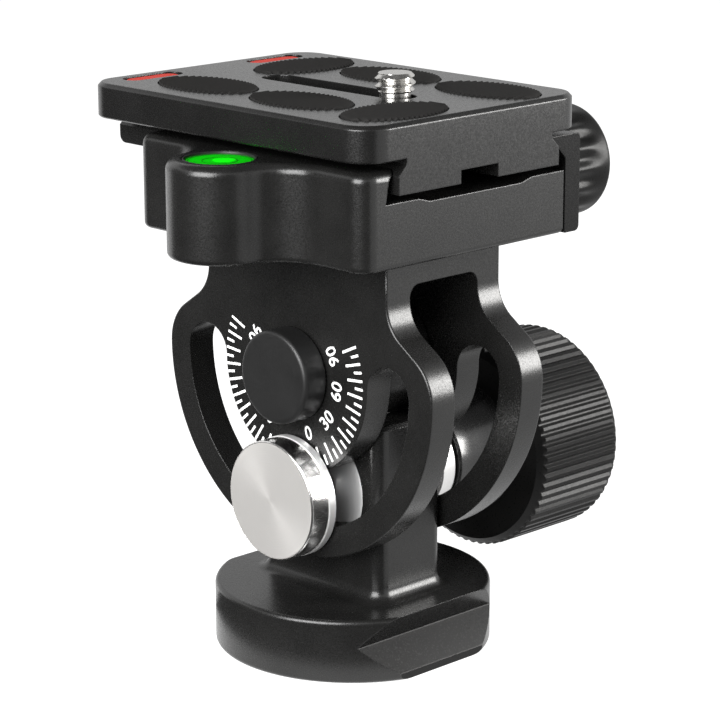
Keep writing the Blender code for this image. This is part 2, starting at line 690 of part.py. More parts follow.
def make_lock_knob():
    """The knurled knob with its smooth hub, its brass insert and the disc in its end."""
    radii = [LOCK_KNOB_RADIUS - KNURL_DEPTH * (index % 2) for index in range(2 * KNURL_COUNT)]
    inset = [radius - LOCK_KNOB_CHAMFER for radius in radii]
    places = (
        (LOCK_KNOB_START, inset),
        (LOCK_KNOB_START + LOCK_KNOB_CHAMFER, radii),
        (LOCK_KNOB_END - LOCK_KNOB_CHAMFER, radii),
        (LOCK_KNOB_END, inset),
    )
    rings = [about_axis(y, BOLT_HEIGHT, ring) for y, ring in places]
    knob = lofted("lock_knob", rings, BLACK)
    centre = (0, 0, BOLT_HEIGHT)
    hub_end = LOCK_KNOB_START + OVERRUN
    hub = [
        (0, hub_end),
        (LOCK_KNOB_HUB_FAR_RADIUS, hub_end),
        (LOCK_KNOB_HUB_FAR_RADIUS, LOCK_KNOB_START),
        (LOCK_KNOB_HUB_NEAR_RADIUS, LOCK_KNOB_HUB_START + COLLAR_THICKNESS),
        (LOCK_KNOB_HUB_NEAR_RADIUS, LOCK_KNOB_HUB_START),
        (0, LOCK_KNOB_HUB_START),
    ]
    join(knob, turned("lock_knob_hub", hub, centre, ALONG_Y, BLACK, SIDES))
    insert_start = LOCK_KNOB_HUB_START + FIT_GAP
    insert_end = insert_start + INSERT_LENGTH
    drill(knob, "insert_hole", (0, LOCK_KNOB_HUB_START - OVERRUN, BOLT_HEIGHT), ALONG_Y,
          INSERT_RADIUS + FIT_GAP, insert_end + FIT_GAP - LOCK_KNOB_HUB_START + OVERRUN)
    bore = BOLT_RADIUS + FIT_GAP
    drill(knob, "bolt_hole", (0, insert_start, BOLT_HEIGHT), ALONG_Y, bore, BOLT_REACH + OVERRUN - insert_start)
    recess = KNOB_CAP_THICKNESS + FIT_GAP
    drill(knob, "lock_cap_recess", (0, LOCK_KNOB_END - recess, BOLT_HEIGHT), ALONG_Y,
          LOCK_KNOB_CAP_RADIUS + FIT_GAP, recess + OVERRUN, SIDES)
    profile = [
        (bore, insert_end),
        (INSERT_RADIUS, insert_end),
        (INSERT_RADIUS, insert_start),
        (bore, insert_start),
    ]
    insert = turned("lock_knob_insert", profile, centre, ALONG_Y, BRASS, SMALL_SIDES, tube=True)
    cap = cylinder("lock_knob_cap", (0, LOCK_KNOB_END - KNOB_CAP_THICKNESS, BOLT_HEIGHT), ALONG_Y,
                   LOCK_KNOB_CAP_RADIUS, KNOB_CAP_THICKNESS, BLACK, SIDES)
    return [knob, insert, cap]


def from_pivot(radius, angle):
    """A point in X and Z at this radius from the pivot, at an angle from straight down."""
    return radius * math.sin(angle), PIVOT_HEIGHT - radius * math.cos(angle)


def yoke_outline():
    """Half of the side plate's edge, from the neck's top round to the bottom, and its mirror image."""
    corners = [
        (0, YOKE_TOP, 0),
        (NECK_HALF_X, YOKE_TOP, 0),
        (NECK_HALF_X, PIVOT_HEIGHT + SHOULDER_INNER_RISE, SHOULDER_INNER_FILLET),
        (CHEEK_RADIUS, PIVOT_HEIGHT + SHOULDER_OUTER_RISE, SHOULDER_OUTER_FILLET),
        (CHEEK_RADIUS, PIVOT_HEIGHT, 0),
    ]
    right = rounded(corners)[1:]
    right += arc(0, PIVOT_HEIGHT, CHEEK_RADIUS, 0, -math.pi / 2, ARC_STEPS // 2)[1:]
    left = [(-x, z) for x, z in reversed(right[:-1])]
    return right + left


def slot_outline():
    """The arc slot round the pivot, as far as the tilt goes each way, with round ends."""
    middle = (SLOT_INNER_RADIUS + SLOT_OUTER_RADIUS) / 2
    half_width = (SLOT_OUTER_RADIUS - SLOT_INNER_RADIUS) / 2
    angles = [TILT_LIMIT * (2 * step / ARC_STEPS - 1) for step in range(ARC_STEPS + 1)]
    points = [from_pivot(SLOT_OUTER_RADIUS, angle) for angle in angles]
    x, z = from_pivot(middle, TILT_LIMIT)
    points += arc(x, z, half_width, TILT_LIMIT - math.pi / 2, TILT_LIMIT + math.pi / 2, 2 * CORNER_STEPS)[1:-1]
    points += [from_pivot(SLOT_INNER_RADIUS, angle) for angle in reversed(angles)]
    x, z = from_pivot(middle, -TILT_LIMIT)
    turn = math.pi / 2 - TILT_LIMIT
    points += arc(x, z, half_width, turn, turn + math.pi, 2 * CORNER_STEPS)[1:-1]
    return points


def make_yoke():
    """Two side plates with their arc slots, under one web."""
    yoke = extruded("yoke", yoke_outline(), -YOKE_OUTER_Y, YOKE_OUTER_Y, OUTLINE_IN_XZ, BLACK)
    below = PIVOT_HEIGHT - CHEEK_RADIUS - OVERRUN
    window = rounded([
        (-YOKE_INNER_Y, below, 0),
        (YOKE_INNER_Y, below, 0),
        (YOKE_INNER_Y, WEB_UNDERSIDE, WINDOW_CORNER),
        (-YOKE_INNER_Y, WEB_UNDERSIDE, WINDOW_CORNER),
    ])
    reach = CHEEK_RADIUS + OVERRUN
    cut(yoke, extruded("window", window, -reach, reach, ALONG_X, TOOL_FINISH))
    wide = YOKE_OUTER_Y + OVERRUN
    cut(yoke, extruded("arc_slots", slot_outline(), -wide, wide, OUTLINE_IN_XZ, TOOL_FINISH))
    drill(yoke, "pivot_bores", (0, -wide, PIVOT_HEIGHT), ALONG_Y, SHAFT_RADIUS + FIT_GAP, 2 * wide)
    for side, name in ((-1, "1"), (1, "2")):
        drill(yoke, "web_hole_" + name, (side * YOKE_SCREW_X, PLATE_MIDDLE_Y, WEB_UNDERSIDE - OVERRUN), ALONG_Z,
              YOKE_SCREW_RADIUS + FIT_GAP, YOKE_TOP - WEB_UNDERSIDE + 2 * OVERRUN)
    return yoke


def make_yoke_screws():
    """Socket screws whose heads lie below the groove in the clamp's floor."""
    screws = []
    head_top = CLAMP_FLOOR - FLOOR_GROOVE_DEPTH - FIT_GAP
    head_low = head_top - YOKE_SCREW_HEAD_THICKNESS
    foot = WEB_UNDERSIDE + FIT_GAP
    profile = [
        (0, head_top),
        (YOKE_SCREW_HEAD_RADIUS, head_top),
        (YOKE_SCREW_HEAD_RADIUS, head_low),
        (YOKE_SCREW_RADIUS, head_low),
        (YOKE_SCREW_RADIUS, foot),
        (0, foot),
    ]
    for side, name in ((-1, "1"), (1, "2")):
        x = side * YOKE_SCREW_X
        screw = turned("yoke_screw_" + name, profile, (x, PLATE_MIDDLE_Y, 0), ALONG_Z, STEEL, SMALL_SIDES)
        drill(screw, "drive_" + name, (x, PLATE_MIDDLE_Y, head_top - YOKE_SCREW_DRIVE), ALONG_Z,
              YOKE_SCREW_DRIVE, YOKE_SCREW_DRIVE + OVERRUN, HEX_SIDES)
        screws.append(screw)
    return screws


def clamp_outline(inset):
    """The clamp body seen from above: square at the back, a filleted boss for the level at the front."""
    fillet_y = CLAMP_FRONT - BOSS_FILLET
    apart = BOSS_RADIUS + BOSS_FILLET
    fillet_x = math.sqrt(apart * apart - (fillet_y - BOSS_Y) ** 2)
    lean = math.atan2(fillet_y - BOSS_Y, fillet_x)
    side = CLAMP_HALF_X - inset
    right = rounded([
        (0, CLAMP_BACK - inset, 0),
        (side, CLAMP_BACK - inset, 0),
        (side, CLAMP_FRONT + inset, CLAMP_CORNER - inset),
        (fillet_x, CLAMP_FRONT + inset, 0),
    ])[1:-1]
    right += arc(fillet_x, fillet_y, BOSS_FILLET + inset, math.pi / 2, math.pi + lean, 2 * CORNER_STEPS)
    right += arc(0, BOSS_Y, BOSS_RADIUS - inset, lean, -math.pi / 2, 3 * CORNER_STEPS)[1:]
    left = [(-x, y) for x, y in reversed(right[:-1])]
    return right + left


def clamp_channel():
    """What is milled away above the floor, in Y and Z, from the fixed jaw's undercut to past the back."""
    lip_low = CLAMP_TOP - LIP_HEIGHT
    groove = CLAMP_FLOOR - FLOOR_GROOVE_DEPTH

    def lip(z):
        return DOVETAIL_FRONT - LIP_GAP + z - DOVETAIL_SHOULDER

    above = CLAMP_TOP + OVERRUN
    past = CLAMP_BACK + OVERRUN
    return [
        (lip(above), above),
        (lip(lip_low), lip_low),
        (JAW_ROOT, CLAMP_FLOOR),
        (FLOOR_GROOVE_FRONT - FLOOR_GROOVE_RAMP, CLAMP_FLOOR),
        (FLOOR_GROOVE_FRONT, groove),
        (FLOOR_GROOVE_BACK, groove),
        (FLOOR_GROOVE_BACK + FLOOR_GROOVE_RAMP, CLAMP_FLOOR),
        (past, CLAMP_FLOOR),
        (past, above),
    ]


def make_clamp_body():
    """The clamp's floor, fixed jaw and boss, with a rounded top edge."""
    rings = [at_height(clamp_outline(0), CLAMP_BOTTOM)]
    for step in range(CLAMP_ROUNDING_STEPS + 1):
        angle = math.pi / 2 * step / CLAMP_ROUNDING_STEPS
        outline = clamp_outline(CLAMP_TOP_ROUNDING * (1 - math.cos(angle)))
        rings.append(at_height(outline, CLAMP_TOP - CLAMP_TOP_ROUNDING * (1 - math.sin(angle))))
    clamp = lofted("clamp_body", rings, BLACK)
    reach = CLAMP_HALF_X + OVERRUN
    cut(clamp, extruded("channel", clamp_channel(), -reach, reach, ALONG_X, TOOL_FINISH))
    drill(clamp, "level_pocket", (0, BOSS_Y, CLAMP_TOP - LEVEL_DEPTH), ALONG_Z,
          LEVEL_CUP_RADIUS + SEAM_GAP, LEVEL_DEPTH + OVERRUN, SIDES)
    drill(clamp, "clamp_screw_hole", (0, CLAMP_BACK - CLAMP_SCREW_DEPTH - FIT_GAP, CLAMP_SCREW_HEIGHT), ALONG_Y,
          CLAMP_SCREW_RADIUS + FIT_GAP, CLAMP_SCREW_DEPTH + FIT_GAP + OVERRUN)
    seat = CLAMP_FLOOR - FLOOR_GROOVE_DEPTH - YOKE_SCREW_HEAD_THICKNESS - 2 * FIT_GAP
    for side, name in ((-1, "1"), (1, "2")):
        drill(clamp, "pin_hole_" + name, (side * PIN_X, CLAMP_BACK - PIN_DEPTH - FIT_GAP, PIN_HEIGHT), ALONG_Y,
              PIN_RADIUS + FIT_GAP, PIN_DEPTH + FIT_GAP + OVERRUN)
        x = side * YOKE_SCREW_X
        drill(clamp, "screw_hole_" + name, (x, PLATE_MIDDLE_Y, CLAMP_BOTTOM - OVERRUN), ALONG_Z,
              YOKE_SCREW_RADIUS + FIT_GAP, CLAMP_FLOOR - CLAMP_BOTTOM + OVERRUN)
        drill(clamp, "head_hole_" + name, (x, PLATE_MIDDLE_Y, seat), ALONG_Z,
              YOKE_SCREW_HEAD_RADIUS + FIT_GAP, CLAMP_FLOOR - seat + OVERRUN)
    return clamp


def make_level():
    """A bull's-eye level: a thin cup, the green fluid and a crowned lens."""
    centre = (0, BOSS_Y, 0)
    inside = LEVEL_CUP_RADIUS - LEVEL_CUP_WALL
    low = CLAMP_TOP - LEVEL_DEPTH + FIT_GAP
    cup = [
        (inside, CLAMP_TOP),
        (LEVEL_CUP_RADIUS, CLAMP_TOP),
        (LEVEL_CUP_RADIUS, low),
        (0, low),
        (0, low + LEVEL_FLOOR),
        (inside, low + LEVEL_FLOOR),
        (inside, CLAMP_TOP),
    ]
    glass = inside - SEAM_GAP
    lens_low = CLAMP_TOP - LENS_THICKNESS
    lens = [
        (0, CLAMP_TOP),
        (glass / 2, CLAMP_TOP - LENS_CROWN * LENS_SHOULDER_SHARE),
        (glass, CLAMP_TOP - LENS_CROWN),
        (glass, lens_low),
        (0, lens_low),
    ]
    fluid_low = low + LEVEL_FLOOR + SEAM_GAP
    fluid_height = lens_low - SEAM_GAP - fluid_low
    return [
        turned("level_cup", cup, centre, ALONG_Z, BLACK, SIDES),
        cylinder("level_fluid", (0, BOSS_Y, fluid_low), ALONG_Z, glass, fluid_height, GREEN, SIDES),
        turned("level_lens", lens, centre, ALONG_Z, CLEAR, SIDES),
    ]


def make_guide_pins():
    length = PIN_DEPTH + JAW_BACK - CLAMP_BACK - FIT_GAP
    start = CLAMP_BACK - PIN_DEPTH
    places = ((-1, "guide_pin_1"), (1, "guide_pin_2"))
    return [cylinder(name, (side * PIN_X, start, PIN_HEIGHT), ALONG_Y, PIN_RADIUS, length, STEEL)
            for side, name in places]


def make_movable_jaw():
    """The loose jaw, with a 45 degree lip over the plate's dovetail."""
    tip_z = JAW_TOP - JAW_TIP_HEIGHT
    slope = DOVETAIL_BACK + DOVETAIL_SHOULDER + JAW_REST_GAP
    profile = rounded([
        (JAW_FRONT, CLAMP_BOTTOM, 0),
        (JAW_BACK, CLAMP_BOTTOM, JAW_ROUNDING),
        (JAW_BACK, JAW_TOP, JAW_ROUNDING),
        (slope - tip_z, JAW_TOP, 0),
        (slope - tip_z, tip_z, 0),
        (JAW_FRONT, slope - JAW_FRONT, 0),
    ])
    jaw = extruded("movable_jaw", profile, -CLAMP_HALF_X, CLAMP_HALF_X, ALONG_X, BLACK)
    through = JAW_BACK - JAW_FRONT + 2 * OVERRUN
    start = JAW_FRONT - OVERRUN
    drill(jaw, "jaw_screw_hole", (0, start, CLAMP_SCREW_HEIGHT), ALONG_Y, CLAMP_SCREW_RADIUS + FIT_GAP, through)
    for side, name in ((-1, "1"), (1, "2")):
        drill(jaw, "jaw_pin_hole_" + name, (side * PIN_X, start, PIN_HEIGHT), ALONG_Y,
              PIN_RADIUS + FIT_GAP, through)
    return jaw


def make_clamp_knob():
    """The fluted knob, its screw, washer and the disc in its end."""
    radii = []
    for flute in range(FLUTE_COUNT):
        radii += [CLAMP_KNOB_RADIUS - FLUTE_DEPTH * depth for _, depth in FLUTE_SHARES]
    turns = [(flute + share) / FLUTE_COUNT for flute in range(FLUTE_COUNT) for share, _ in FLUTE_SHARES]
    angles = [2 * math.pi * turn for turn in turns]

    def ring(y, inset, fluted):
        sizes = [(r if fluted else CLAMP_KNOB_RADIUS) - inset for r in radii]
        return [(r * math.sin(a), y, CLAMP_SCREW_HEIGHT + r * math.cos(a)) for r, a in zip(sizes, angles)]

    rim = CLAMP_KNOB_END - CLAMP_KNOB_RIM
    rings = [
        ring(CLAMP_KNOB_START, CLAMP_KNOB_CHAMFER, True),
        ring(CLAMP_KNOB_START + CLAMP_KNOB_CHAMFER, 0, True),
        ring(rim, 0, True),
        ring(rim + FLUTE_DEPTH, 0, False),
        ring(CLAMP_KNOB_END - CLAMP_KNOB_CHAMFER, 0, False),
        ring(CLAMP_KNOB_END, CLAMP_KNOB_CHAMFER, False),
    ]
    knob = lofted("clamp_knob", rings, BLACK)
    neck_length = CLAMP_KNOB_NECK + OVERRUN
    join(knob, cylinder("clamp_knob_neck", (0, CLAMP_KNOB_NECK_START, CLAMP_SCREW_HEIGHT), ALONG_Y,
                        CLAMP_KNOB_NECK_RADIUS, neck_length, BLACK, SIDES))
    recess = KNOB_CAP_THICKNESS + FIT_GAP
    screw_end = CLAMP_KNOB_END - recess - OVERRUN
    bore = CLAMP_SCREW_RADIUS + FIT_GAP
    drill(knob, "knob_bore", (0, CLAMP_KNOB_NECK_START - OVERRUN, CLAMP_SCREW_HEIGHT), ALONG_Y,
          bore, screw_end + FIT_GAP - CLAMP_KNOB_NECK_START + OVERRUN)
    drill(knob, "clamp_cap_recess", (0, CLAMP_KNOB_END - recess, CLAMP_SCREW_HEIGHT), ALONG_Y,
          CLAMP_KNOB_CAP_RADIUS + FIT_GAP, recess + OVERRUN, SIDES)
    screw_start = CLAMP_BACK - CLAMP_SCREW_DEPTH
    screw = cylinder("clamp_screw", (0, screw_start, CLAMP_SCREW_HEIGHT), ALONG_Y,
                     CLAMP_SCREW_RADIUS, screw_end - screw_start, STEEL)
    cap = cylinder("clamp_knob_cap", (0, CLAMP_KNOB_END - KNOB_CAP_THICKNESS, CLAMP_SCREW_HEIGHT), ALONG_Y,
                   CLAMP_KNOB_CAP_RADIUS, KNOB_CAP_THICKNESS, BLACK, SIDES)
    profile = [
        (bore, CLAMP_WASHER_START + CLAMP_WASHER_THICKNESS),
        (CLAMP_WASHER_RADIUS, CLAMP_WASHER_START + CLAMP_WASHER_THICKNESS),
        (CLAMP_WASHER_RADIUS, CLAMP_WASHER_START),
        (bore, CLAMP_WASHER_START),
    ]
    washer = turned("clamp_washer", profile, (0, 0, CLAMP_SCREW_HEIGHT), ALONG_Y, STEEL, SIDES, tube=True)
    return [screw, washer, knob, cap]


def pad_places():
    """Each rubber pad's centre and its radii along X and Y."""
    for share_x, share_y, along_x in PAD_PLACE_SHARES:
        x = PLATE_MIDDLE_X + share_x * PLATE_LENGTH
        y = PLATE_MIDDLE_Y + share_y * PLATE_WIDTH
        if along_x:
            yield x, y, PAD_LONG_X_SHARE * PLATE_LENGTH, PAD_SHORT_Y_SHARE * PLATE_WIDTH
        else:
            yield x, y, PAD_SHORT_X_SHARE * PLATE_LENGTH, PAD_LONG_Y_SHARE * PLATE_WIDTH


def insert_places():
    for share in INSERT_PLACE_SHARES:
        yield PLATE_LEFT + INSERT_FROM_END, PLATE_MIDDLE_Y + share * PLATE_WIDTH


def make_plate():
    """The camera plate: a chamfered flange over a dovetail, cut for the screw, the pads and the inserts."""
    def ring(z, inset):
        outline = rounded_box(PLATE_LEFT + inset, PLATE_RIGHT - inset, PLATE_FRONT + inset, PLATE_BACK - inset,
                              PLATE_CORNER - inset)
        return at_height(outline, z)

    rings = [
        ring(FLANGE_UNDERSIDE, 0),
        ring(PLATE_TOP - PLATE_EDGE_CHAMFER, 0),
        ring(PLATE_TOP, PLATE_EDGE_CHAMFER),
    ]
    plate = lofted("quick_release_plate", rings, BLACK)
    throat = DOVETAIL_SHOULDER + DOVETAIL_BEVEL
    inside = FLANGE_UNDERSIDE + SLOT_HALF_WIDTH / 2
    dovetail = [
        (DOVETAIL_FRONT, DOVETAIL_UNDERSIDE),
        (DOVETAIL_BACK, DOVETAIL_UNDERSIDE),
        (DOVETAIL_BACK, DOVETAIL_SHOULDER),
        (DOVETAIL_BACK - DOVETAIL_BEVEL, throat),
        (DOVETAIL_BACK - DOVETAIL_BEVEL, inside),
        (DOVETAIL_FRONT + DOVETAIL_BEVEL, inside),
        (DOVETAIL_FRONT + DOVETAIL_BEVEL, throat),
        (DOVETAIL_FRONT, DOVETAIL_SHOULDER),
    ]
    join(plate, extruded("dovetail", dovetail, PLATE_LEFT, PLATE_RIGHT, ALONG_X, BLACK))
    under = DOVETAIL_UNDERSIDE - OVERRUN
    cut(plate, box("screw_channel",
                   (PLATE_LEFT - OVERRUN, CHANNEL_MIDDLE_Y - CHANNEL_HALF_WIDTH, under),
                   (PLATE_RIGHT + OVERRUN, CHANNEL_MIDDLE_Y + CHANNEL_HALF_WIDTH,
                    DOVETAIL_UNDERSIDE + CHANNEL_DEPTH), TOOL_FINISH))
    pocket = rounded_box(POCKET_LEFT, POCKET_RIGHT, CHANNEL_MIDDLE_Y - POCKET_HALF_WIDTH,
                         CHANNEL_MIDDLE_Y + POCKET_HALF_WIDTH, WINDOW_CORNER)
    cut(plate, extruded("screw_pocket", pocket, under, POCKET_CEILING, ALONG_Z, TOOL_FINISH))
    slot = stadium((SLOT_LEFT + SLOT_RIGHT) / 2, CHANNEL_MIDDLE_Y, (SLOT_RIGHT - SLOT_LEFT) / 2, SLOT_HALF_WIDTH)
    cut(plate, extruded("screw_slot", slot, under, PLATE_TOP + OVERRUN, ALONG_Z, TOOL_FINISH))
    floor = PLATE_TOP + PAD_STANDS_PROUD - PAD_THICKNESS - FIT_GAP
    for number, (x, y, radius_x, radius_y) in enumerate(pad_places(), 1):
        outline = oval(x, y, radius_x + FIT_GAP, radius_y + FIT_GAP)
        cut(plate, extruded(f"pad_recess_{number}", outline, floor, PLATE_TOP + OVERRUN, ALONG_Z, TOOL_FINISH))
    for number, (x, y) in enumerate(insert_places(), 1):
        outline = stadium(x, y, INSERT_HALF_WIDTH, INSERT_HALF_LENGTH)
        cut(plate, extruded(f"insert_recess_{number}", outline, PLATE_TOP - INSERT_RECESS_DEPTH,
                            PLATE_TOP + OVERRUN, ALONG_Z, TOOL_FINISH))
    return plate


def make_pads():
    top = PLATE_TOP + PAD_STANDS_PROUD
    return [extruded(f"rubber_pad_{number}", oval(x, y, radius_x, radius_y), top - PAD_THICKNESS, top,
                     ALONG_Z, RUBBER)
            for number, (x, y, radius_x, radius_y) in enumerate(pad_places(), 1)]


def make_inserts():
    low = PLATE_TOP - INSERT_RECESS_DEPTH + FIT_GAP
    high = PLATE_TOP - INSERT_SUNK
    return [extruded(f"red_insert_{number}",
                     stadium(x, y, INSERT_HALF_WIDTH - FIT_GAP, INSERT_HALF_LENGTH - FIT_GAP),
                     low, high, ALONG_Z, RED)
            for number, (x, y) in enumerate(insert_places(), 1)]


def make_camera_screw():
    """The screw for the camera, with a slotted head under its flat carriage."""
    carriage_top = POCKET_CEILING - FIT_GAP
    carriage_low = carriage_top - CARRIAGE_THICKNESS
    outline = rounded_box(CAMERA_SCREW_X - CARRIAGE_HALF_X, CAMERA_SCREW_X + CARRIAGE_HALF_X,
                          CHANNEL_MIDDLE_Y - CARRIAGE_HALF_Y, CHANNEL_MIDDLE_Y + CARRIAGE_HALF_Y, WINDOW_CORNER / 2)
    carriage = extruded("screw_carriage", outline, carriage_low, carriage_top, ALONG_Z, STEEL)
    drill(carriage, "carriage_hole", (CAMERA_SCREW_X, CHANNEL_MIDDLE_Y, carriage_low - OVERRUN), ALONG_Z,
          CAMERA_SCREW_SHANK + FIT_GAP, CARRIAGE_THICKNESS + 2 * OVERRUN)
    head_top = carriage_low - FIT_GAP
    head_low = head_top - SCREW_HEAD_THICKNESS
    tip = PLATE_TOP + CAMERA_SCREW_HEIGHT
    thread = PLATE_TOP + CAMERA_SCREW_NECK
    profile = [
        (0, tip),
        (CAMERA_SCREW_RADIUS - CAMERA_SCREW_CHAMFER, tip),
        (CAMERA_SCREW_RADIUS, tip - CAMERA_SCREW_CHAMFER),
        (CAMERA_SCREW_RADIUS, thread),
        (CAMERA_SCREW_SHANK, thread),
        (CAMERA_SCREW_SHANK, head_top),
        (SCREW_HEAD_RADIUS, head_top),
        (SCREW_HEAD_RADIUS, head_low),
        (0, head_low),
    ]
    screw = turned("camera_screw", profile, (CAMERA_SCREW_X, CHANNEL_MIDDLE_Y, 0), ALONG_Z, SILVER, SIDES)
    cut(screw, box("drive_slot",
                   (CAMERA_SCREW_X - SCREW_HEAD_RADIUS - OVERRUN, CHANNEL_MIDDLE_Y - SCREW_DRIVE_WIDTH / 2,
                    head_low - OVERRUN),
                   (CAMERA_SCREW_X + SCREW_HEAD_RADIUS + OVERRUN, CHANNEL_MIDDLE_Y + SCREW_DRIVE_WIDTH / 2,
                    head_low + SCREW_DRIVE_DEPTH), TOOL_FINISH))
    return carriage, screw


clear_scene()
PIECES = collection("tilt_head")
TOOLS = collection("cutters")

BLACK = material("black_anodised", (0.03, 0.03, 0.032), 0.42, 0.6)
GREY_METAL = material("grey_metal", (0.32, 0.32, 0.33), 0.35, 1.0)
SILVER = material("turned_steel", (0.75, 0.74, 0.72), 0.25, 1.0)
STEEL = material("steel", (0.55, 0.55, 0.56), 0.35, 1.0)
BRONZE = material("bronze", (0.50, 0.34, 0.16), 0.40, 1.0)
BRASS = material("brass", (0.66, 0.50, 0.22), 0.35, 1.0)
RUBBER = material("rubber", (0.02, 0.02, 0.02), 0.80, 0.0)
RED = material("red_plastic", (0.62, 0.05, 0.03), 0.45, 0.0)
GREEN = material("level_green", (0.05, 0.80, 0.08), 0.20, 0.0)
CLEAR = material("clear_plastic", (0.90, 1.0, 0.92), 0.05, 0.0, 0.3)
TOOL_FINISH = material("cutter", (0.8, 0.2, 0.2), 0.5, 0.0)

make_foot()
make_stud_bushing()
make_pivot()
make_lock()
carry("lock_knob_axis", (0, 0, BOLT_HEIGHT), make_lock_knob())

head_pieces = [make_yoke(), make_clamp_body(), *make_yoke_screws(), *make_level(), *make_guide_pins()]
HEAD = carry("tilt_axis", (0, 0, PIVOT_HEIGHT), head_pieces)
JAW = carry("jaw_slide", (0, JAW_FRONT, CLAMP_SCREW_HEIGHT), [make_movable_jaw()], HEAD)
carry("clamp_knob_axis", (0, CLAMP_KNOB_START, CLAMP_SCREW_HEIGHT), make_clamp_knob(), JAW)
PLATE = carry("plate_slide", (PLATE_MIDDLE_X, PLATE_MIDDLE_Y, DOVETAIL_UNDERSIDE),
              [make_plate(), *make_pads(), *make_inserts()], HEAD)
carriage_piece, screw_piece = make_camera_screw()
CARRIAGE = carry("carriage_slide", (CAMERA_SCREW_X, CHANNEL_MIDDLE_Y, POCKET_CEILING), [carriage_piece], PLATE)
carry("camera_screw_axis", (CAMERA_SCREW_X, CHANNEL_MIDDLE_Y, PLATE_TOP), [screw_piece], CARRIAGE)
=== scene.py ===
"""The looks of a one-axis tilt head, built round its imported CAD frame.

Lengths below are in millimetres, and each finished piece is scaled to metres. X runs along the plate,
Y along the tilt axis with the dial on the -Y side, and +Z is up.
"""

import math

import bmesh
import bpy
from mathutils import Matrix, Vector


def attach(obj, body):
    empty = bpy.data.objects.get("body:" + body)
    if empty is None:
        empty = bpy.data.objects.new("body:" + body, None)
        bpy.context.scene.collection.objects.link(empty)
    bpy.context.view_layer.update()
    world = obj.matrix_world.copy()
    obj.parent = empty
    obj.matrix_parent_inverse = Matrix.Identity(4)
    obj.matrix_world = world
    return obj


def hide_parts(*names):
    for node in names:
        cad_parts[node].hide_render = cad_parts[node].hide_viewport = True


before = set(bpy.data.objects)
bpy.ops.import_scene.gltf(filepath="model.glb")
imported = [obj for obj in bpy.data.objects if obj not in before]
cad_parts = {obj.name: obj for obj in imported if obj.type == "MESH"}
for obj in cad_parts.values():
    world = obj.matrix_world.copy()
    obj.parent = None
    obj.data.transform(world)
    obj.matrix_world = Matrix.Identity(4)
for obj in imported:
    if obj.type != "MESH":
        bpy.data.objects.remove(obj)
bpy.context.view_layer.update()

METRES = 0.001
SHARP_ANGLE = math.radians(32)
WELD_DISTANCE = 0.0005
OVERRUN = 2.0
FIT_GAP = 0.3
SEAM_GAP = 0.15
WELD = 0.0002

# Foot and post
FOOT_RADIUS = 22.5
FOOT_HEIGHT = 10.5
FOOT_EDGE = 0.8
GROOVE = ((2.5, 1.0), (5.9, 0.562), (2.0, 0.114))
POST_HALF_X = 13.5
POST_HALF_Y = 7.25
POST_CORNER = 2.2
POST_FILLET = 2.3
LEDGE_HEIGHT = 39.3
LEDGE_CHAMFER = 0.6
HUB_RADIUS = 10.7
SOCKET_RADIUS = 6.6
SOCKET_DEPTH = 12.5
STUD_RADIUS = 4.0

# Pivot and lock
PIVOT_HEIGHT = 47.1
SHAFT_RADIUS = 4.0
PIVOT_CAP_RADIUS = 7.5
PIVOT_CAP_THICKNESS = 4.5
PIVOT_CAP_CHAMFER = 0.7
BOLT_HEIGHT = 27.1
BOLT_RADIUS = 2.5
LOCK_CAP_RADIUS = 9.66
LOCK_CAP_THICKNESS = 5.3
LOCK_CAP_RING = 1.6
LOCK_CAP_RING_STEP = 0.12
FRICTION_RADIUS = 9.6
FRICTION_THICKNESS = 1.2
FRICTION_PROUD = 0.075
FRICTION_DOME = 6.0
FRICTION_DROP = 1.0
COLLAR_RADIUS = 8.1
COLLAR_THICKNESS = 3.2

# Lock knob
LOCK_KNOB_RADIUS = 17.5
LOCK_KNOB_START = 26.6
LOCK_KNOB_END = 45.9
LOCK_KNOB_HUB_START = 16.37
LOCK_KNOB_HUB_NEAR = 8.8
LOCK_KNOB_HUB_FAR = 11.0
LOCK_KNOB_CHAMFER = 1.3
LOCK_KNOB_CAP_RADIUS = 8.0
KNOB_CAP_THICKNESS = 1.4
KNURL_COUNT = 64
KNURL_DEPTH = 0.45
# Along each tooth's pitch: a share of the pitch, and the share of the depth there
KNURL_SHAPE = ((0.0, 1.0), (0.16, 1.0), (0.42, 0.0), (0.74, 0.0))
BOLT_REACH = 35.5
INSERT_RADIUS = 5.0
INSERT_LENGTH = 15.0

# Yoke
YOKE_INNER_Y = 7.5
YOKE_OUTER_Y = 12.57
YOKE_TOP = 68.15
CHEEK_RADIUS = 30.0
NECK_HALF_X = 20.4
SHOULDER_RISES = (10.9, 4.3)
SHOULDER_FILLETS = (6.6, 8.0)
WEB_UNDERSIDE = 63.7
WINDOW_CORNER = 2.0
SLOT_RADII = (16.1, 25.2)
TILT_LIMIT = math.radians(90)
YOKE_EDGE = 0.35

# Dial: angles from straight down, in degrees, on each side
DIAL_ZERO = 25
DIAL_SPAN = 90
DIAL_STEP = 5
TICK_OUTER = 15.7
TICK_LONG = 3.3
TICK_SHORT = 1.7
TICK_WIDTH = 0.42
PRINT_PROUD = 0.02
NUMERALS_RIGHT = (("0", 20.4), ("30", 50.3), ("60", 82.4), ("90", 115.0))
NUMERALS_LEFT = (("0", -32.0), ("30", -61.0), ("60", -89.5), ("90", -118.0))
# The printing sits a little to the left of the pivot
DIAL_SHIFT = -0.45
NUMERAL_RADIUS = 10.05
NUMERAL_BOLD = 0.05
NUMERAL_SIZE = 3.1

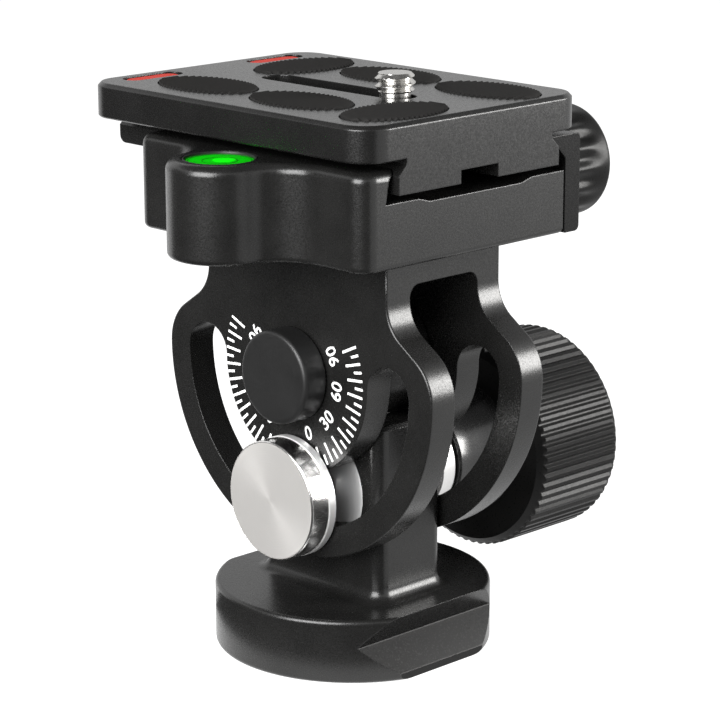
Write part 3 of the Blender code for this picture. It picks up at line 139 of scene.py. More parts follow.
# Clamp body and level
CLAMP_HALF_X = 25.8
CLAMP_FRONT = -22.7
CLAMP_BACK = 21.3
CLAMP_CORNER = 3.0
CLAMP_BOTTOM = 68.3
CLAMP_FLOOR = 78.4
CLAMP_TOP = 83.4
CLAMP_TOP_ROUNDING = 1.6
CLAMP_LOW_ROUNDING = 0.9
GROOVE_FLOOR = 77.75
FLOOR_GROOVE = (-8.7, 11.4)
FLOOR_GROOVE_RAMP = 2.4
JAW_ROOT = -18.1
LIP_TIP = -15.85
LIP_HEIGHT = 1.55
BOSS_Y = -27.7
BOSS_RADIUS = 8.2
BOSS_FILLET = 8.0
LEVEL_RADIUS = 5.7
LEVEL_WALL = 0.35
LEVEL_DEPTH = 5.6
LEVEL_MIDDLE_Y = 0.8
YOKE_SCREW_X = 9.0
YOKE_SCREW_RADIUS = 2.0
YOKE_SCREW_HEAD = 3.5

# Loose jaw and clamp knob
JAW_FRONT = 21.6
JAW_BACK = 25.0
JAW_TOP = 84.0
JAW_TIP = 18.2
JAW_ROUNDING = 0.9
PIN_X = 17.0
PIN_HEIGHT = 73.5
PIN_RADIUS = 2.0
PIN_DEPTH = 13.0
CLAMP_SCREW_HEIGHT = 73.0
CLAMP_SCREW_RADIUS = 3.0
CLAMP_SCREW_DEPTH = 18.0
CLAMP_KNOB_RADIUS = 9.55
CLAMP_KNOB_NECK_START = 26.5
CLAMP_KNOB_NECK_RADIUS = 6.2
CLAMP_KNOB_START = 27.7
CLAMP_KNOB_END = 52.0
CLAMP_KNOB_RIM = 1.0
CLAMP_KNOB_CAP_RADIUS = 5.8
FLUTE_COUNT = 16
FLUTE_DEPTH = 0.75
FLUTE_RUNOUT = 6.0

# Quick-release plate
PLATE_LEFT = -37.3
PLATE_RIGHT = 26.8
PLATE_FRONT = -23.3
PLATE_BACK = 24.9
PLATE_TOP = 90.5
PLATE_CORNER = 5.0
PLATE_CHAMFER = 0.6
FLANGE_UNDERSIDE = 84.9
DOVETAIL = (-16.3, 18.9)
DOVETAIL_UNDERSIDE = 79.7
DOVETAIL_SHOULDER = 82.6
DOVETAIL_BEVEL = 1.6
DOVETAIL_END_ROUNDING = 1.3
CHANNEL_Y = 1.0
CHANNEL_HALF_WIDTH = 4.1
CHANNEL_DEPTH = 2.1
POCKET = (-25.0, 16.0, 7.2, 86.0)
SLOT = (-20.5, 12.3, 2.8)
PAD_LONG = 9.75
PAD_SHORT = 6.0
PAD_PROUD = 0.4
PAD_THICKNESS = 1.6
PAD_RIB_PITCH = 0.93
PAD_RIB_DEPTH = 0.34
PADS = (
    (-19.4, -12.8, True),
    (2.1, -12.7, True),
    (19.4, -9.9, False),
    (-23.4, 11.9, False),
    (-6.1, 14.7, True),
    (15.4, 14.8, True),
)
RED_INSERTS = ((-33.2, -12.5), (-33.2, 14.3))
RED_HALF_LENGTH = 5.2
RED_HALF_WIDTH = 1.9
RED_DEPTH = 1.6
RED_SUNK = 0.18
RED_RECESS_SPARE = 0.6

# Camera screw
SCREW_X = 8.7
SCREW_RADIUS = 3.175
SCREW_SHANK = 2.45
SCREW_TIP = 94.2
SCREW_NECK = 0.7
SCREW_PITCH = 1.27
SCREW_THREAD_DEPTH = 0.62
SCREW_CHAMFER = 0.6
SCREW_HEAD_RADIUS = 6.0
SCREW_HEAD = (81.6, 84.2)
SCREW_DRIVE = 1.2

ALONG_X = Matrix(((0, 0, 1, 0), (1, 0, 0, 0), (0, 1, 0, 0), (0, 0, 0, 1)))
ALONG_Y = Matrix.Rotation(-math.pi / 2, 4, "X")
OUTLINE_IN_XZ = Matrix.Rotation(math.pi / 2, 4, "X")
ALONG_Z = Matrix.Identity(4)


# Outlines

def arc(centre_x, centre_y, radius, start, end, steps):
    """Points along an arc, both ends included."""
    angles = [start + (end - start) * step / steps for step in range(steps + 1)]
    return [(centre_x + radius * math.cos(a), centre_y + radius * math.sin(a)) for a in angles]


def rounded(corners, steps=10):
    """The outline through corners, each given as x, y and the radius it is rounded to."""
    points = []
    for index, (x, y, radius) in enumerate(corners):
        if radius == 0:
            points.append((x, y))
            continue
        here = Vector((x, y))
        before = (Vector(corners[index - 1][:2]) - here).normalized()
        after = (Vector(corners[(index + 1) % len(corners)][:2]) - here).normalized()
        half = before.angle(after) / 2
        centre = here + (before + after).normalized() * (radius / math.sin(half))
        start = here + before * (radius / math.tan(half)) - centre
        end = here + after * (radius / math.tan(half)) - centre
        first = math.atan2(start.y, start.x)
        turn = math.remainder(math.atan2(end.y, end.x) - first, 2 * math.pi)
        points += arc(centre.x, centre.y, radius, first, first + turn, steps)
    return points


def rounded_box(left, right, front, back, radius, steps=10):
    corners = ((right, front), (right, back), (left, back), (left, front))
    return rounded([(x, y, radius) for x, y in corners], steps)


def stadium(centre_x, centre_y, half_x, half_y, steps=14):
    """A slot outline with round ends, along whichever way is longer."""
    end = min(half_x, half_y) * 0.999
    return rounded_box(centre_x - half_x, centre_x + half_x, centre_y - half_y, centre_y + half_y, end, steps)


def oval(centre_x, centre_y, radius_x, radius_y, sides=96):
    angles = [2 * math.pi * side / sides for side in range(sides)]
    return [(centre_x + radius_x * math.cos(a), centre_y + radius_y * math.sin(a)) for a in angles]


def at_height(outline, z):
    return [(x, y, z) for x, y in outline]


def round_axis(y, height, radii):
    """A ring round an axis along Y, with one point for each radius."""
    angles = [2 * math.pi * index / len(radii) for index in range(len(radii))]
    return [(r * math.sin(a), y, height + r * math.cos(a)) for r, a in zip(radii, angles)]


def from_pivot(radius, angle):
    """A point in X and Z at this radius from the pivot, at an angle from straight down."""
    return radius * math.sin(angle), PIVOT_HEIGHT - radius * math.cos(angle)


# Solids in millimetres

def draft(name, mesh):
    """An unfinished solid, which finished() turns into a piece."""
    made = bpy.data.objects.new(name, mesh)
    bpy.context.scene.collection.objects.link(made)
    return made


def mesh_from(name, bm):
    mesh = bpy.data.meshes.new(name)
    bm.normal_update()
    bmesh.ops.recalc_face_normals(bm, faces=bm.faces)
    if bm.calc_volume(signed=True) < 0:
        bmesh.ops.reverse_faces(bm, faces=bm.faces)
    bm.to_mesh(mesh)
    bm.free()
    return mesh


def lofted(name, rings, closed_loop=False):
    """A skin over rings of equally many points, capped at its two ends or closed round into a loop."""
    bm = bmesh.new()
    rows = [[bm.verts.new(point) for point in ring] for ring in rings]
    pairs = list(zip(rows, rows[1:]))
    if closed_loop:
        pairs.append((rows[-1], rows[0]))
    for lower, upper in pairs:
        for index in range(len(lower)):
            after = (index + 1) % len(lower)
            bm.faces.new((lower[index], lower[after], upper[after], upper[index]))
    if not closed_loop:
        bm.faces.new(rows[0])
        bm.faces.new(rows[-1])
    return draft(name, mesh_from(name, bm))


def turned(name, profile, centre, matrix, sides=96, tube=False):
    """A turned solid. Its profile runs from the top end, down the outside, to the bottom end."""
    bm = bmesh.new()
    columns = []
    for side in range(sides):
        a = 2 * math.pi * side / sides
        columns.append((math.cos(a), math.sin(a)))
    rows = []
    for radius, height in profile:
        if radius == 0:
            rows.append([bm.verts.new((0, 0, height))])
        else:
            rows.append([bm.verts.new((radius * c, radius * s, height)) for c, s in columns])
    pairs = list(zip(rows, rows[1:]))
    if tube:
        pairs.append((rows[-1], rows[0]))
    for upper, lower in pairs:
        for index in range(sides):
            after = (index + 1) % sides
            corners = [upper[index % len(upper)], upper[after % len(upper)],
                       lower[after % len(lower)], lower[index % len(lower)]]
            corners = list(dict.fromkeys(corners))
            if len(corners) > 2:
                bm.faces.new(corners)
    bm.transform(Matrix.Translation(centre) @ matrix)
    return draft(name, mesh_from(name, bm))


def extruded(name, outline, low, high, matrix=ALONG_Z, edge=0.0, edge_steps=2):
    """An outline in local X and Y, extruded along local Z, with its rims rounded over by edge."""
    curve = bpy.data.curves.new(name, "CURVE")
    curve.dimensions = "2D"
    curve.fill_mode = "BOTH"
    curve.extrude = (high - low) / 2 - edge
    curve.bevel_depth = edge
    curve.bevel_resolution = edge_steps
    curve.offset = -edge
    spline = curve.splines.new("POLY")
    spline.points.add(len(outline) - 1)
    for point, (x, y) in zip(spline.points, outline):
        point.co = (x, y, 0, 1)
    spline.use_cyclic_u = True
    drawn = bpy.data.objects.new(name, curve)
    bpy.context.scene.collection.objects.link(drawn)
    graph = bpy.context.evaluated_depsgraph_get()
    mesh = bpy.data.meshes.new_from_object(drawn.evaluated_get(graph))
    bpy.data.objects.remove(drawn, do_unlink=True)
    bm = bmesh.new()
    bm.from_mesh(mesh)
    bpy.data.meshes.remove(mesh)
    bmesh.ops.remove_doubles(bm, verts=bm.verts, dist=WELD)
    bmesh.ops.translate(bm, verts=bm.verts, vec=(0, 0, (low + high) / 2))
    bm.transform(matrix)
    return draft(name, mesh_from(name, bm))


def rod(name, start, matrix, radius, length, sides=64):
    return turned(name, [(0, length), (radius, length), (radius, 0), (0, 0)], start, matrix, sides)


def box(name, low, high):
    bm = bmesh.new()
    bmesh.ops.create_cube(bm, size=1)
    bmesh.ops.scale(bm, verts=bm.verts, vec=[b - a for a, b in zip(low, high)])
    bmesh.ops.translate(bm, verts=bm.verts, vec=[(a + b) / 2 for a, b in zip(low, high)])
    return draft(name, mesh_from(name, bm))


def weld(mesh):
    """Closes the hairline gaps that a Boolean or a text outline leaves."""
    bm = bmesh.new()
    bm.from_mesh(mesh)
    bmesh.ops.remove_doubles(bm, verts=bm.verts, dist=WELD_DISTANCE)
    bmesh.ops.dissolve_degenerate(bm, dist=WELD_DISTANCE, edges=bm.edges)
    bm.to_mesh(mesh)
    bm.free()


def combine(target, tool, operation):
    """Applies one Boolean and throws its tool away."""
    step = target.modifiers.new("step", "BOOLEAN")
    step.operation = operation
    step.solver = "EXACT"
    step.object = tool
    graph = bpy.context.evaluated_depsgraph_get()
    mesh = bpy.data.meshes.new_from_object(target.evaluated_get(graph))
    target.modifiers.clear()
    weld(mesh)
    old = target.data
    target.data = mesh
    bpy.data.meshes.remove(old)
    bpy.data.objects.remove(tool, do_unlink=True)


def cut(target, tool):
    combine(target, tool, "DIFFERENCE")


def join(target, tool):
    combine(target, tool, "UNION")


def finished(piece, finish, body, *nodes, slot=None, sharp=SHARP_ANGLE):
    """Scales a solid to metres, gives it its finish and lets it ride on a body in place of CAD nodes."""
    mesh = piece.data
    mesh.transform(Matrix.Scale(METRES, 4))
    mesh.materials.clear()
    mesh.materials.append(finish)
    mesh.shade_smooth()
    mesh.set_sharp_from_angle(angle=sharp)
    mesh.update()
    even = piece.modifiers.new("even_shading", "WEIGHTED_NORMAL")
    even.keep_sharp = True
    even.weight = 80
    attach(piece, body)
    if nodes:
        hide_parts(*nodes)
    return piece


# Materials

def blank_material(name):
    made = bpy.data.materials.new(name)
    made.use_nodes = True
    made.node_tree.nodes.clear()
    nodes = made.node_tree.nodes
    shader = nodes.new("ShaderNodeBsdfPrincipled")
    output = nodes.new("ShaderNodeOutputMaterial")
    made.node_tree.links.new(shader.outputs["BSDF"], output.inputs["Surface"])
    return made, nodes, made.node_tree.links, shader


def set_inputs(node, **values):
    for name, value in values.items():
        node.inputs[name.replace("_", " ")].default_value = value


def noise(nodes, links, scale, detail=3.0, vector=None):
    made = nodes.new("ShaderNodeTexNoise")
    made.inputs["Scale"].default_value = scale
    made.inputs["Detail"].default_value = detail
    if vector is None:
        place = nodes.new("ShaderNodeTexCoord")
        vector = place.outputs["Object"]
    links.new(vector, made.inputs["Vector"])
    return made


def ranged(nodes, links, source, low, high):
    """Maps a noise's middle values onto low to high."""
    made = nodes.new("ShaderNodeMapRange")
    made.inputs["From Min"].default_value = 0.3
    made.inputs["From Max"].default_value = 0.7
    made.inputs["To Min"].default_value = low
    made.inputs["To Max"].default_value = high
    links.new(source, made.inputs["Value"])
    return made


def blended(nodes, links, factor, first, second):
    made = nodes.new("ShaderNodeMix")
    made.data_type = "RGBA"
    made.inputs["A"].default_value = (*first, 1.0)
    made.inputs["B"].default_value = (*second, 1.0)
    links.new(factor, made.inputs["Factor"])
    return made.outputs["Result"]


def bumped(nodes, links, shader, height, strength, distance, edge=0.0):
    """Grain for a surface, over edges that are softened by the given radius in metres."""
    bump = nodes.new("ShaderNodeBump")
    bump.inputs["Strength"].default_value = strength
    bump.inputs["Distance"].default_value = distance
    links.new(height, bump.inputs["Height"])
    if edge:
        soft = nodes.new("ShaderNodeBevel")
        soft.samples = 6
        soft.inputs["Radius"].default_value = edge
        links.new(soft.outputs["Normal"], bump.inputs["Normal"])
    links.new(bump.outputs["Normal"], shader.inputs["Normal"])
    return bump


def anodised(name, colour, roughness, grain=0.22, edge=0.00024, ior=1.5):
    """Bead-blasted, black anodised aluminium."""
    made, nodes, links, shader = blank_material(name)
    fine = noise(nodes, links, 3300.0, 2.0)
    wide = noise(nodes, links, 160.0, 4.0)
    paler = tuple(min(1.0, c * 1.5) for c in colour)
    shade = ranged(nodes, links, wide.outputs["Fac"], 0.0, 1.0)
    links.new(blended(nodes, links, shade.outputs["Result"], colour, paler), shader.inputs["Base Color"])
    rough = ranged(nodes, links, fine.outputs["Fac"], roughness - 0.05, roughness + 0.06)
    links.new(rough.outputs["Result"], shader.inputs["Roughness"])
    set_inputs(shader, IOR=ior, Metallic=0.0)
    bumped(nodes, links, shader, fine.outputs["Fac"], grain, 0.00004, edge)
    return made


def metal(name, colour, roughness, grain=0.05, edge=0.00015, metallic=1.0):
    """Plain machined metal with a faint grain."""
    made, nodes, links, shader = blank_material(name)
    fine = noise(nodes, links, 2600.0, 2.0)
    paler = tuple(min(1.0, c * 1.12) for c in colour)
    links.new(blended(nodes, links, fine.outputs["Fac"], colour, paler), shader.inputs["Base Color"])
    rough = ranged(nodes, links, fine.outputs["Fac"], roughness - 0.04, roughness + 0.05)
    links.new(rough.outputs["Result"], shader.inputs["Roughness"])
    set_inputs(shader, Metallic=metallic)
    bumped(nodes, links, shader, fine.outputs["Fac"], grain, 0.00002, edge)
    return made


def turned_metal(name, colour, roughness, height, axis="Y", strength=0.25, metallic=1.0, aniso=0.6):
    """Lathe-turned metal, with fine rings about an axis at the given height in metres."""
    made, nodes, links, shader = blank_material(name)
    place = nodes.new("ShaderNodeTexCoord")
    middle = nodes.new("ShaderNodeVectorMath")
    middle.operation = "SUBTRACT"
    middle.inputs[1].default_value = (0.0, 0.0, height)
    links.new(place.outputs["Object"], middle.inputs[0])
    flat = nodes.new("ShaderNodeVectorMath")
    flat.operation = "MULTIPLY"
    flat.inputs[1].default_value = (1.0, 0.0, 1.0) if axis == "Y" else (1.0, 1.0, 0.0)
    links.new(middle.outputs[0], flat.inputs[0])
    radius = nodes.new("ShaderNodeVectorMath")
    radius.operation = "LENGTH"
    links.new(flat.outputs[0], radius.inputs[0])
    rings = nodes.new("ShaderNodeTexNoise")
    rings.noise_dimensions = "1D"
    rings.inputs["Scale"].default_value = 9000.0
    rings.inputs["Detail"].default_value = 3.0
    links.new(radius.outputs["Value"], rings.inputs["W"])
    paler = tuple(min(1.0, c * 1.18) for c in colour)
    links.new(blended(nodes, links, rings.outputs["Fac"], colour, paler), shader.inputs["Base Color"])
    rough = ranged(nodes, links, rings.outputs["Fac"], roughness - 0.06, roughness + 0.08)
    links.new(rough.outputs["Result"], shader.inputs["Roughness"])
    set_inputs(shader, Metallic=metallic, Anisotropic=aniso)
    tangent = nodes.new("ShaderNodeTangent")
    tangent.direction_type = "RADIAL"
    tangent.axis = axis
    links.new(tangent.outputs["Tangent"], shader.inputs["Tangent"])
    bumped(nodes, links, shader, rings.outputs["Fac"], strength, 0.00001)
    return made


def rubber(name):
    made, nodes, links, shader = blank_material(name)
    fine = noise(nodes, links, 3500.0, 4.0)
    links.new(blended(nodes, links, fine.outputs["Fac"], (0.006, 0.006, 0.006), (0.020, 0.019, 0.018)),
              shader.inputs["Base Color"])
    rough = ranged(nodes, links, fine.outputs["Fac"], 0.62, 0.82)
    links.new(rough.outputs["Result"], shader.inputs["Roughness"])
    set_inputs(shader, IOR=1.25)
    bumped(nodes, links, shader, fine.outputs["Fac"], 0.25, 0.00006)
    return made


def plastic(name, colour, roughness, glow=0.0, ior=1.45):
    made, nodes, links, shader = blank_material(name)
    fine = noise(nodes, links, 1400.0, 3.0)
    paler = tuple(min(1.0, c * 1.25 + 0.002) for c in colour)
    links.new(blended(nodes, links, fine.outputs["Fac"], colour, paler), shader.inputs["Base Color"])
    rough = ranged(nodes, links, fine.outputs["Fac"], roughness - 0.04, roughness + 0.06)
    links.new(rough.outputs["Result"], shader.inputs["Roughness"])
    set_inputs(shader, IOR=ior)
    # glow paints light: an emission in the part's own colour, so it shines though it is no lamp.
    if glow:
        shader.inputs["Emission Color"].default_value = (*colour, 1.0)
        shader.inputs["Emission Strength"].default_value = glow
    bumped(nodes, links, shader, fine.outputs["Fac"], 0.05, 0.00003, 0.0001)
    return made


def clear_plastic(name, tint):
    made, nodes, links, shader = blank_material(name)
    fine = noise(nodes, links, 300.0, 2.0)
    set_inputs(shader, IOR=1.06, Alpha=0.10)
    shader.inputs["Base Color"].default_value = (*tint, 1.0)
    rough = ranged(nodes, links, fine.outputs["Fac"], 0.03, 0.07)
    links.new(rough.outputs["Result"], shader.inputs["Roughness"])
    return made


BLACK = anodised("black_anodised", (0.0075, 0.0074, 0.0072), 0.28)
JAW_BLACK = anodised("jaw_anodised", (0.0050, 0.0049, 0.0048), 0.27, ior=1.28)
# Painted shade: a darker copy of the black anodised finish, with weaker reflection, for the foot's groove.
GROOVE_PAINTED_SHADE = anodised("groove_anodised_painted_shade", (0.0060, 0.0059, 0.0058), 0.24, grain=0.10, ior=1.25)
PLATE_BLACK = anodised("plate_anodised", (0.0060, 0.0059, 0.0058), 0.26, grain=0.12)
KNOB_BLACK = anodised("knob_anodised", (0.0070, 0.0069, 0.0068), 0.31, grain=0.15, edge=0.00008, ior=1.24)
GLOSS_BLACK = anodised("gloss_anodised", (0.012, 0.012, 0.012), 0.24, grain=0.05, ior=1.7)
CAP_BLACK = anodised("cap_anodised", (0.0085, 0.0085, 0.0085), 0.42)
SILVER_FACE = turned_metal("turned_face", (0.56, 0.546, 0.528), 0.36, BOLT_HEIGHT * METRES, metallic=0.55)
SILVER_SIDE = metal("satin_side", (0.92, 0.91, 0.90), 0.34, grain=0.02, metallic=0.6)
POLISHED = metal("polished_side", (0.85, 0.84, 0.83), 0.20, grain=0.01, metallic=1.0)
STEEL = metal("steel", (0.55, 0.55, 0.56), 0.32)
SCREW_STEEL = metal("screw_steel", (0.55, 0.54, 0.52), 0.26, grain=0.02, edge=0.0)
GREY_METAL = turned_metal("friction_grey", (0.66, 0.66, 0.66), 0.40, BOLT_HEIGHT * METRES, strength=0.15,
                          metallic=0.7)
BRONZE = metal("bronze", (0.50, 0.34, 0.16), 0.38)
BRASS = metal("brass", (0.68, 0.52, 0.24), 0.32)
RUBBER = rubber("pad_rubber")
RED = plastic("red_plastic", (0.52, 0.035, 0.022), 0.40, ior=1.08)
# Painted glow: the level's green fluid gives off light through emission, though it is no lamp.
GREEN_PAINTED_GLOW = plastic("level_green", (0.001, 0.50, 0.002), 0.35, glow=0.15, ior=1.04)
DARK_GREEN = plastic("bubble_rim_green", (0.0, 0.20, 0.0), 0.30, ior=1.04)
# Painted glow: the bubble is a lighter green that gives off light through emission, though it is no lamp.
BUBBLE_PAINTED_GLOW = plastic("bubble_painted_glow", (0.004, 0.95, 0.004), 0.30, glow=0.3, ior=1.08)
BLACK_PLASTIC = plastic("black_plastic", (0.012, 0.012, 0.012), 0.42)
CLEAR = clear_plastic("clear_plastic", (0.02, 0.60, 0.02))
PRINT = plastic("white_print", (0.86, 0.86, 0.85), 0.5)


# Foot and post, which everything stands on

def make_foot():
    edge = [(FOOT_RADIUS + x, y) for x, y in arc(-FOOT_EDGE, FOOT_HEIGHT - FOOT_EDGE, FOOT_EDGE, math.pi / 2, 0, 5)]
    low = [(FOOT_RADIUS + x, y) for x, y in arc(-FOOT_EDGE, FOOT_EDGE, FOOT_EDGE, 0, -math.pi / 2, 5)]
    foot = turned("foot_and_post", [(0, FOOT_HEIGHT), *edge, *low, (0, 0)], (0, 0, 0), ALONG_Z, 144)
    outside = FOOT_RADIUS + OVERRUN
    inner = [(FOOT_RADIUS - depth, FOOT_HEIGHT * share) for depth, share in GROOVE]
    groove = [
        (outside, -OVERRUN),
        (inner[2][0], -OVERRUN),
        inner[2],
        inner[1],
        inner[0],
        (inner[0][0], FOOT_HEIGHT + OVERRUN),
        (outside, FOOT_HEIGHT + OVERRUN),
    ]
    for side in (1, -1):
        outline = [(side * x, z) for x, z in groove]
        cut(foot, extruded("groove", outline, -outside, outside, OUTLINE_IN_XZ))
    rings = []

    def ring(z, flare):
        outline = rounded_box(-POST_HALF_X - flare, POST_HALF_X + flare,
                              -POST_HALF_Y - flare, POST_HALF_Y + flare, POST_CORNER + flare)
        rings.append(at_height(outline, z))

    ring(FOOT_HEIGHT - POST_FILLET, POST_FILLET)
    for step in range(11):
        angle = math.pi / 2 * step / 10
        ring(FOOT_HEIGHT + POST_FILLET * (1 - math.cos(angle)), POST_FILLET * (1 - math.sin(angle)))
    ring(LEDGE_HEIGHT - LEDGE_CHAMFER, 0)
    ring(LEDGE_HEIGHT, -LEDGE_CHAMFER)
    join(foot, lofted("post", rings))
    join(foot, rod("hub", (0, -POST_HALF_Y, PIVOT_HEIGHT), ALONG_Y, HUB_RADIUS, 2 * POST_HALF_Y, 120))
    start = -POST_HALF_Y - OVERRUN
    through = 2 * (POST_HALF_Y + OVERRUN)
    cut(foot, rod("bore", (0, start, PIVOT_HEIGHT), ALONG_Y, SHAFT_RADIUS + FIT_GAP, through))
    cut(foot, rod("bore", (0, start, BOLT_HEIGHT), ALONG_Y, BOLT_RADIUS + FIT_GAP, through))
    cut(foot, rod("socket", (0, 0, -OVERRUN), ALONG_Z, SOCKET_RADIUS, SOCKET_DEPTH + OVERRUN))
    for side in (-1, 1):
        depth = FRICTION_THICKNESS
        low = min(side * (POST_HALF_Y - depth), side * (POST_HALF_Y + OVERRUN))
        cut(foot, rod("seat", (0, low, BOLT_HEIGHT), ALONG_Y, FRICTION_RADIUS + SEAM_GAP, depth + OVERRUN, 96))
    finished(foot, BLACK, "base", "base_post", slot="black_anodised")
    # The flat faces of the groove take the darker copy of the finish: painted shade in the groove.
    foot.data.materials.append(GROOVE_PAINTED_SHADE)
    for face in foot.data.polygons:
        outward = abs(face.normal.x) > 0.7 and abs(face.normal.y) < 0.01
        if outward and face.center.z < FOOT_HEIGHT * METRES and abs(face.center.x) > (POST_HALF_X + POST_FILLET) * METRES:
            face.material_index = 1


def make_stud_bushing():
    """The threaded insert under the foot, with a real helical thread in its bore."""
    outer = SOCKET_RADIUS - FIT_GAP
    top = SOCKET_DEPTH - FIT_GAP
    sides = 48
    pitch = 1.27
    depth = 0.6
    rings = []

    def bore(z):
        made = []
        for side in range(sides):
            turn = side / sides
            phase = (z / pitch - turn) % 1.0
            radius = STUD_RADIUS + depth * (1 - abs(2 * phase - 1)) * 0.5
            made.append((radius * math.cos(2 * math.pi * turn), radius * math.sin(2 * math.pi * turn), z))
        return made

    def circle(radius, z):
        return [(radius * math.cos(2 * math.pi * s / sides), radius * math.sin(2 * math.pi * s / sides), z)
                for s in range(sides)]

    low = FIT_GAP
    rings.append(circle(outer - 0.3, low))
    rings.append(circle(outer, low + 0.3))
    rings.append(circle(outer, top))
    rings.append(circle(STUD_RADIUS + depth / 2, top))
    steps = 60
    for step in range(steps + 1):
        rings.append(bore(top - 0.01 - (top - low - 0.51) * step / steps))
    rings.append(circle(STUD_RADIUS + depth, low))
    bushing = lofted("threaded_stud_bushing", rings, closed_loop=True)
    finished(bushing, STEEL, "base", "stud_bushing", slot="steel")


# Pivot caps and the lock's cap, collar and knob

def make_pivot_caps():
    base = YOKE_OUTER_Y + FIT_GAP
    top = base + PIVOT_CAP_THICKNESS
    rim = PIVOT_CAP_CHAMFER
    bore = SHAFT_RADIUS + FIT_GAP
    blind = base + PIVOT_CAP_THICKNESS / 2 + FIT_GAP
    crown = 0.06
    profile = [
        (0, top),
        (PIVOT_CAP_RADIUS - rim - 0.25, top - crown / 4),
        *[(PIVOT_CAP_RADIUS - rim + x, top - rim + y) for x, y in arc(0, 0, rim, math.radians(80), 0, 6)],
        (PIVOT_CAP_RADIUS, base + 0.15),
        (PIVOT_CAP_RADIUS - 0.15, base),
        (bore, base),
        (bore, blind),
        (0, blind),
    ]
    for name, matrix in (("near", OUTLINE_IN_XZ), ("far", ALONG_Y)):
        cap = turned("pivot_disc_" + name, profile, (0, 0, PIVOT_HEIGHT), matrix)
        finished(cap, CAP_BLACK, "base", "pivot_cap_" + name, slot="black_anodised")


def make_lock_cap():
    back = YOKE_OUTER_Y + FIT_GAP
    front = back + LOCK_CAP_THICKNESS
    ring = back + LOCK_CAP_RING
    step = LOCK_CAP_RING_STEP
    outer = LOCK_CAP_RADIUS + step
    bore = BOLT_RADIUS + FIT_GAP
    blind = back + LOCK_CAP_THICKNESS / 2 + FIT_GAP
    centre = (0, 0, BOLT_HEIGHT)
    face_low = front - 0.25
    face = [
        (0, front),
        (LOCK_CAP_RADIUS - 0.45, front),
        (LOCK_CAP_RADIUS - 0.28, front - 0.06),
        (LOCK_CAP_RADIUS - 0.28, face_low),
        (0, face_low),
    ]
    finished(turned("lock_cap_face", face, centre, OUTLINE_IN_XZ, 128), SILVER_FACE, "base", "lock_cap",
             slot="turned_steel")
    side = [
        (0, face_low),
        (LOCK_CAP_RADIUS - 0.24, face_low),
        (LOCK_CAP_RADIUS - 0.22, front - 0.08),
        (LOCK_CAP_RADIUS, front - 0.32),
        (LOCK_CAP_RADIUS, ring + 0.1),
        (LOCK_CAP_RADIUS - 0.12, ring),
        (0, ring),
    ]
    finished(turned("lock_cap_side", side, centre, OUTLINE_IN_XZ, 128), POLISHED, "base", "lock_cap",
             slot="turned_steel")
    back_ring = [
        (0, ring),
        (outer - 0.12, ring),
        (outer, ring - step),
        (outer, back + 0.2),
        (outer - 0.2, back),
        (bore, back),
        (bore, blind),
        (0, blind),
    ]
    finished(turned("lock_cap_ring", back_ring, centre, OUTLINE_IN_XZ, 128), SILVER_SIDE, "base", "lock_cap",
             slot="turned_steel")
    start = YOKE_OUTER_Y + FIT_GAP
    end = start + COLLAR_THICKNESS
    collar = [
        (bore, end),
        (COLLAR_RADIUS - 0.5, end),
        *[(COLLAR_RADIUS - 0.5 + x, end - 0.5 + y) for x, y in arc(0, 0, 0.5, math.radians(75), 0, 4)],
        (COLLAR_RADIUS, start + 0.2),
        (COLLAR_RADIUS - 0.2, start),
        (bore, start),
    ]
    finished(turned("polished_collar", collar, centre, ALONG_Y, 96, tube=True), SILVER_SIDE, "base",
             "lock_collar", slot="turned_steel")


def make_friction_washers():
    """Grey discs on the post with a softly domed rim."""
    outer, depth = FRICTION_RADIUS, FRICTION_THICKNESS
    face = POST_HALF_Y + FRICTION_PROUD
    base = face - depth
    dome = [(outer - FRICTION_DOME + x, face - FRICTION_DROP + y * FRICTION_DROP / FRICTION_DOME)
            for x, y in arc(0, 0, FRICTION_DOME, math.pi / 2, 0, 12)]
    bore = BOLT_RADIUS + FIT_GAP
    profile = [(bore, face), *dome, (outer, base), (bore, base)]
    for name, matrix in (("near", OUTLINE_IN_XZ), ("far", ALONG_Y)):
        washer = turned("friction_disc_" + name, profile, (0, 0, BOLT_HEIGHT), matrix, 96, tube=True)
        finished(washer, GREY_METAL, "base", "friction_washer_" + name, slot="grey_metal")


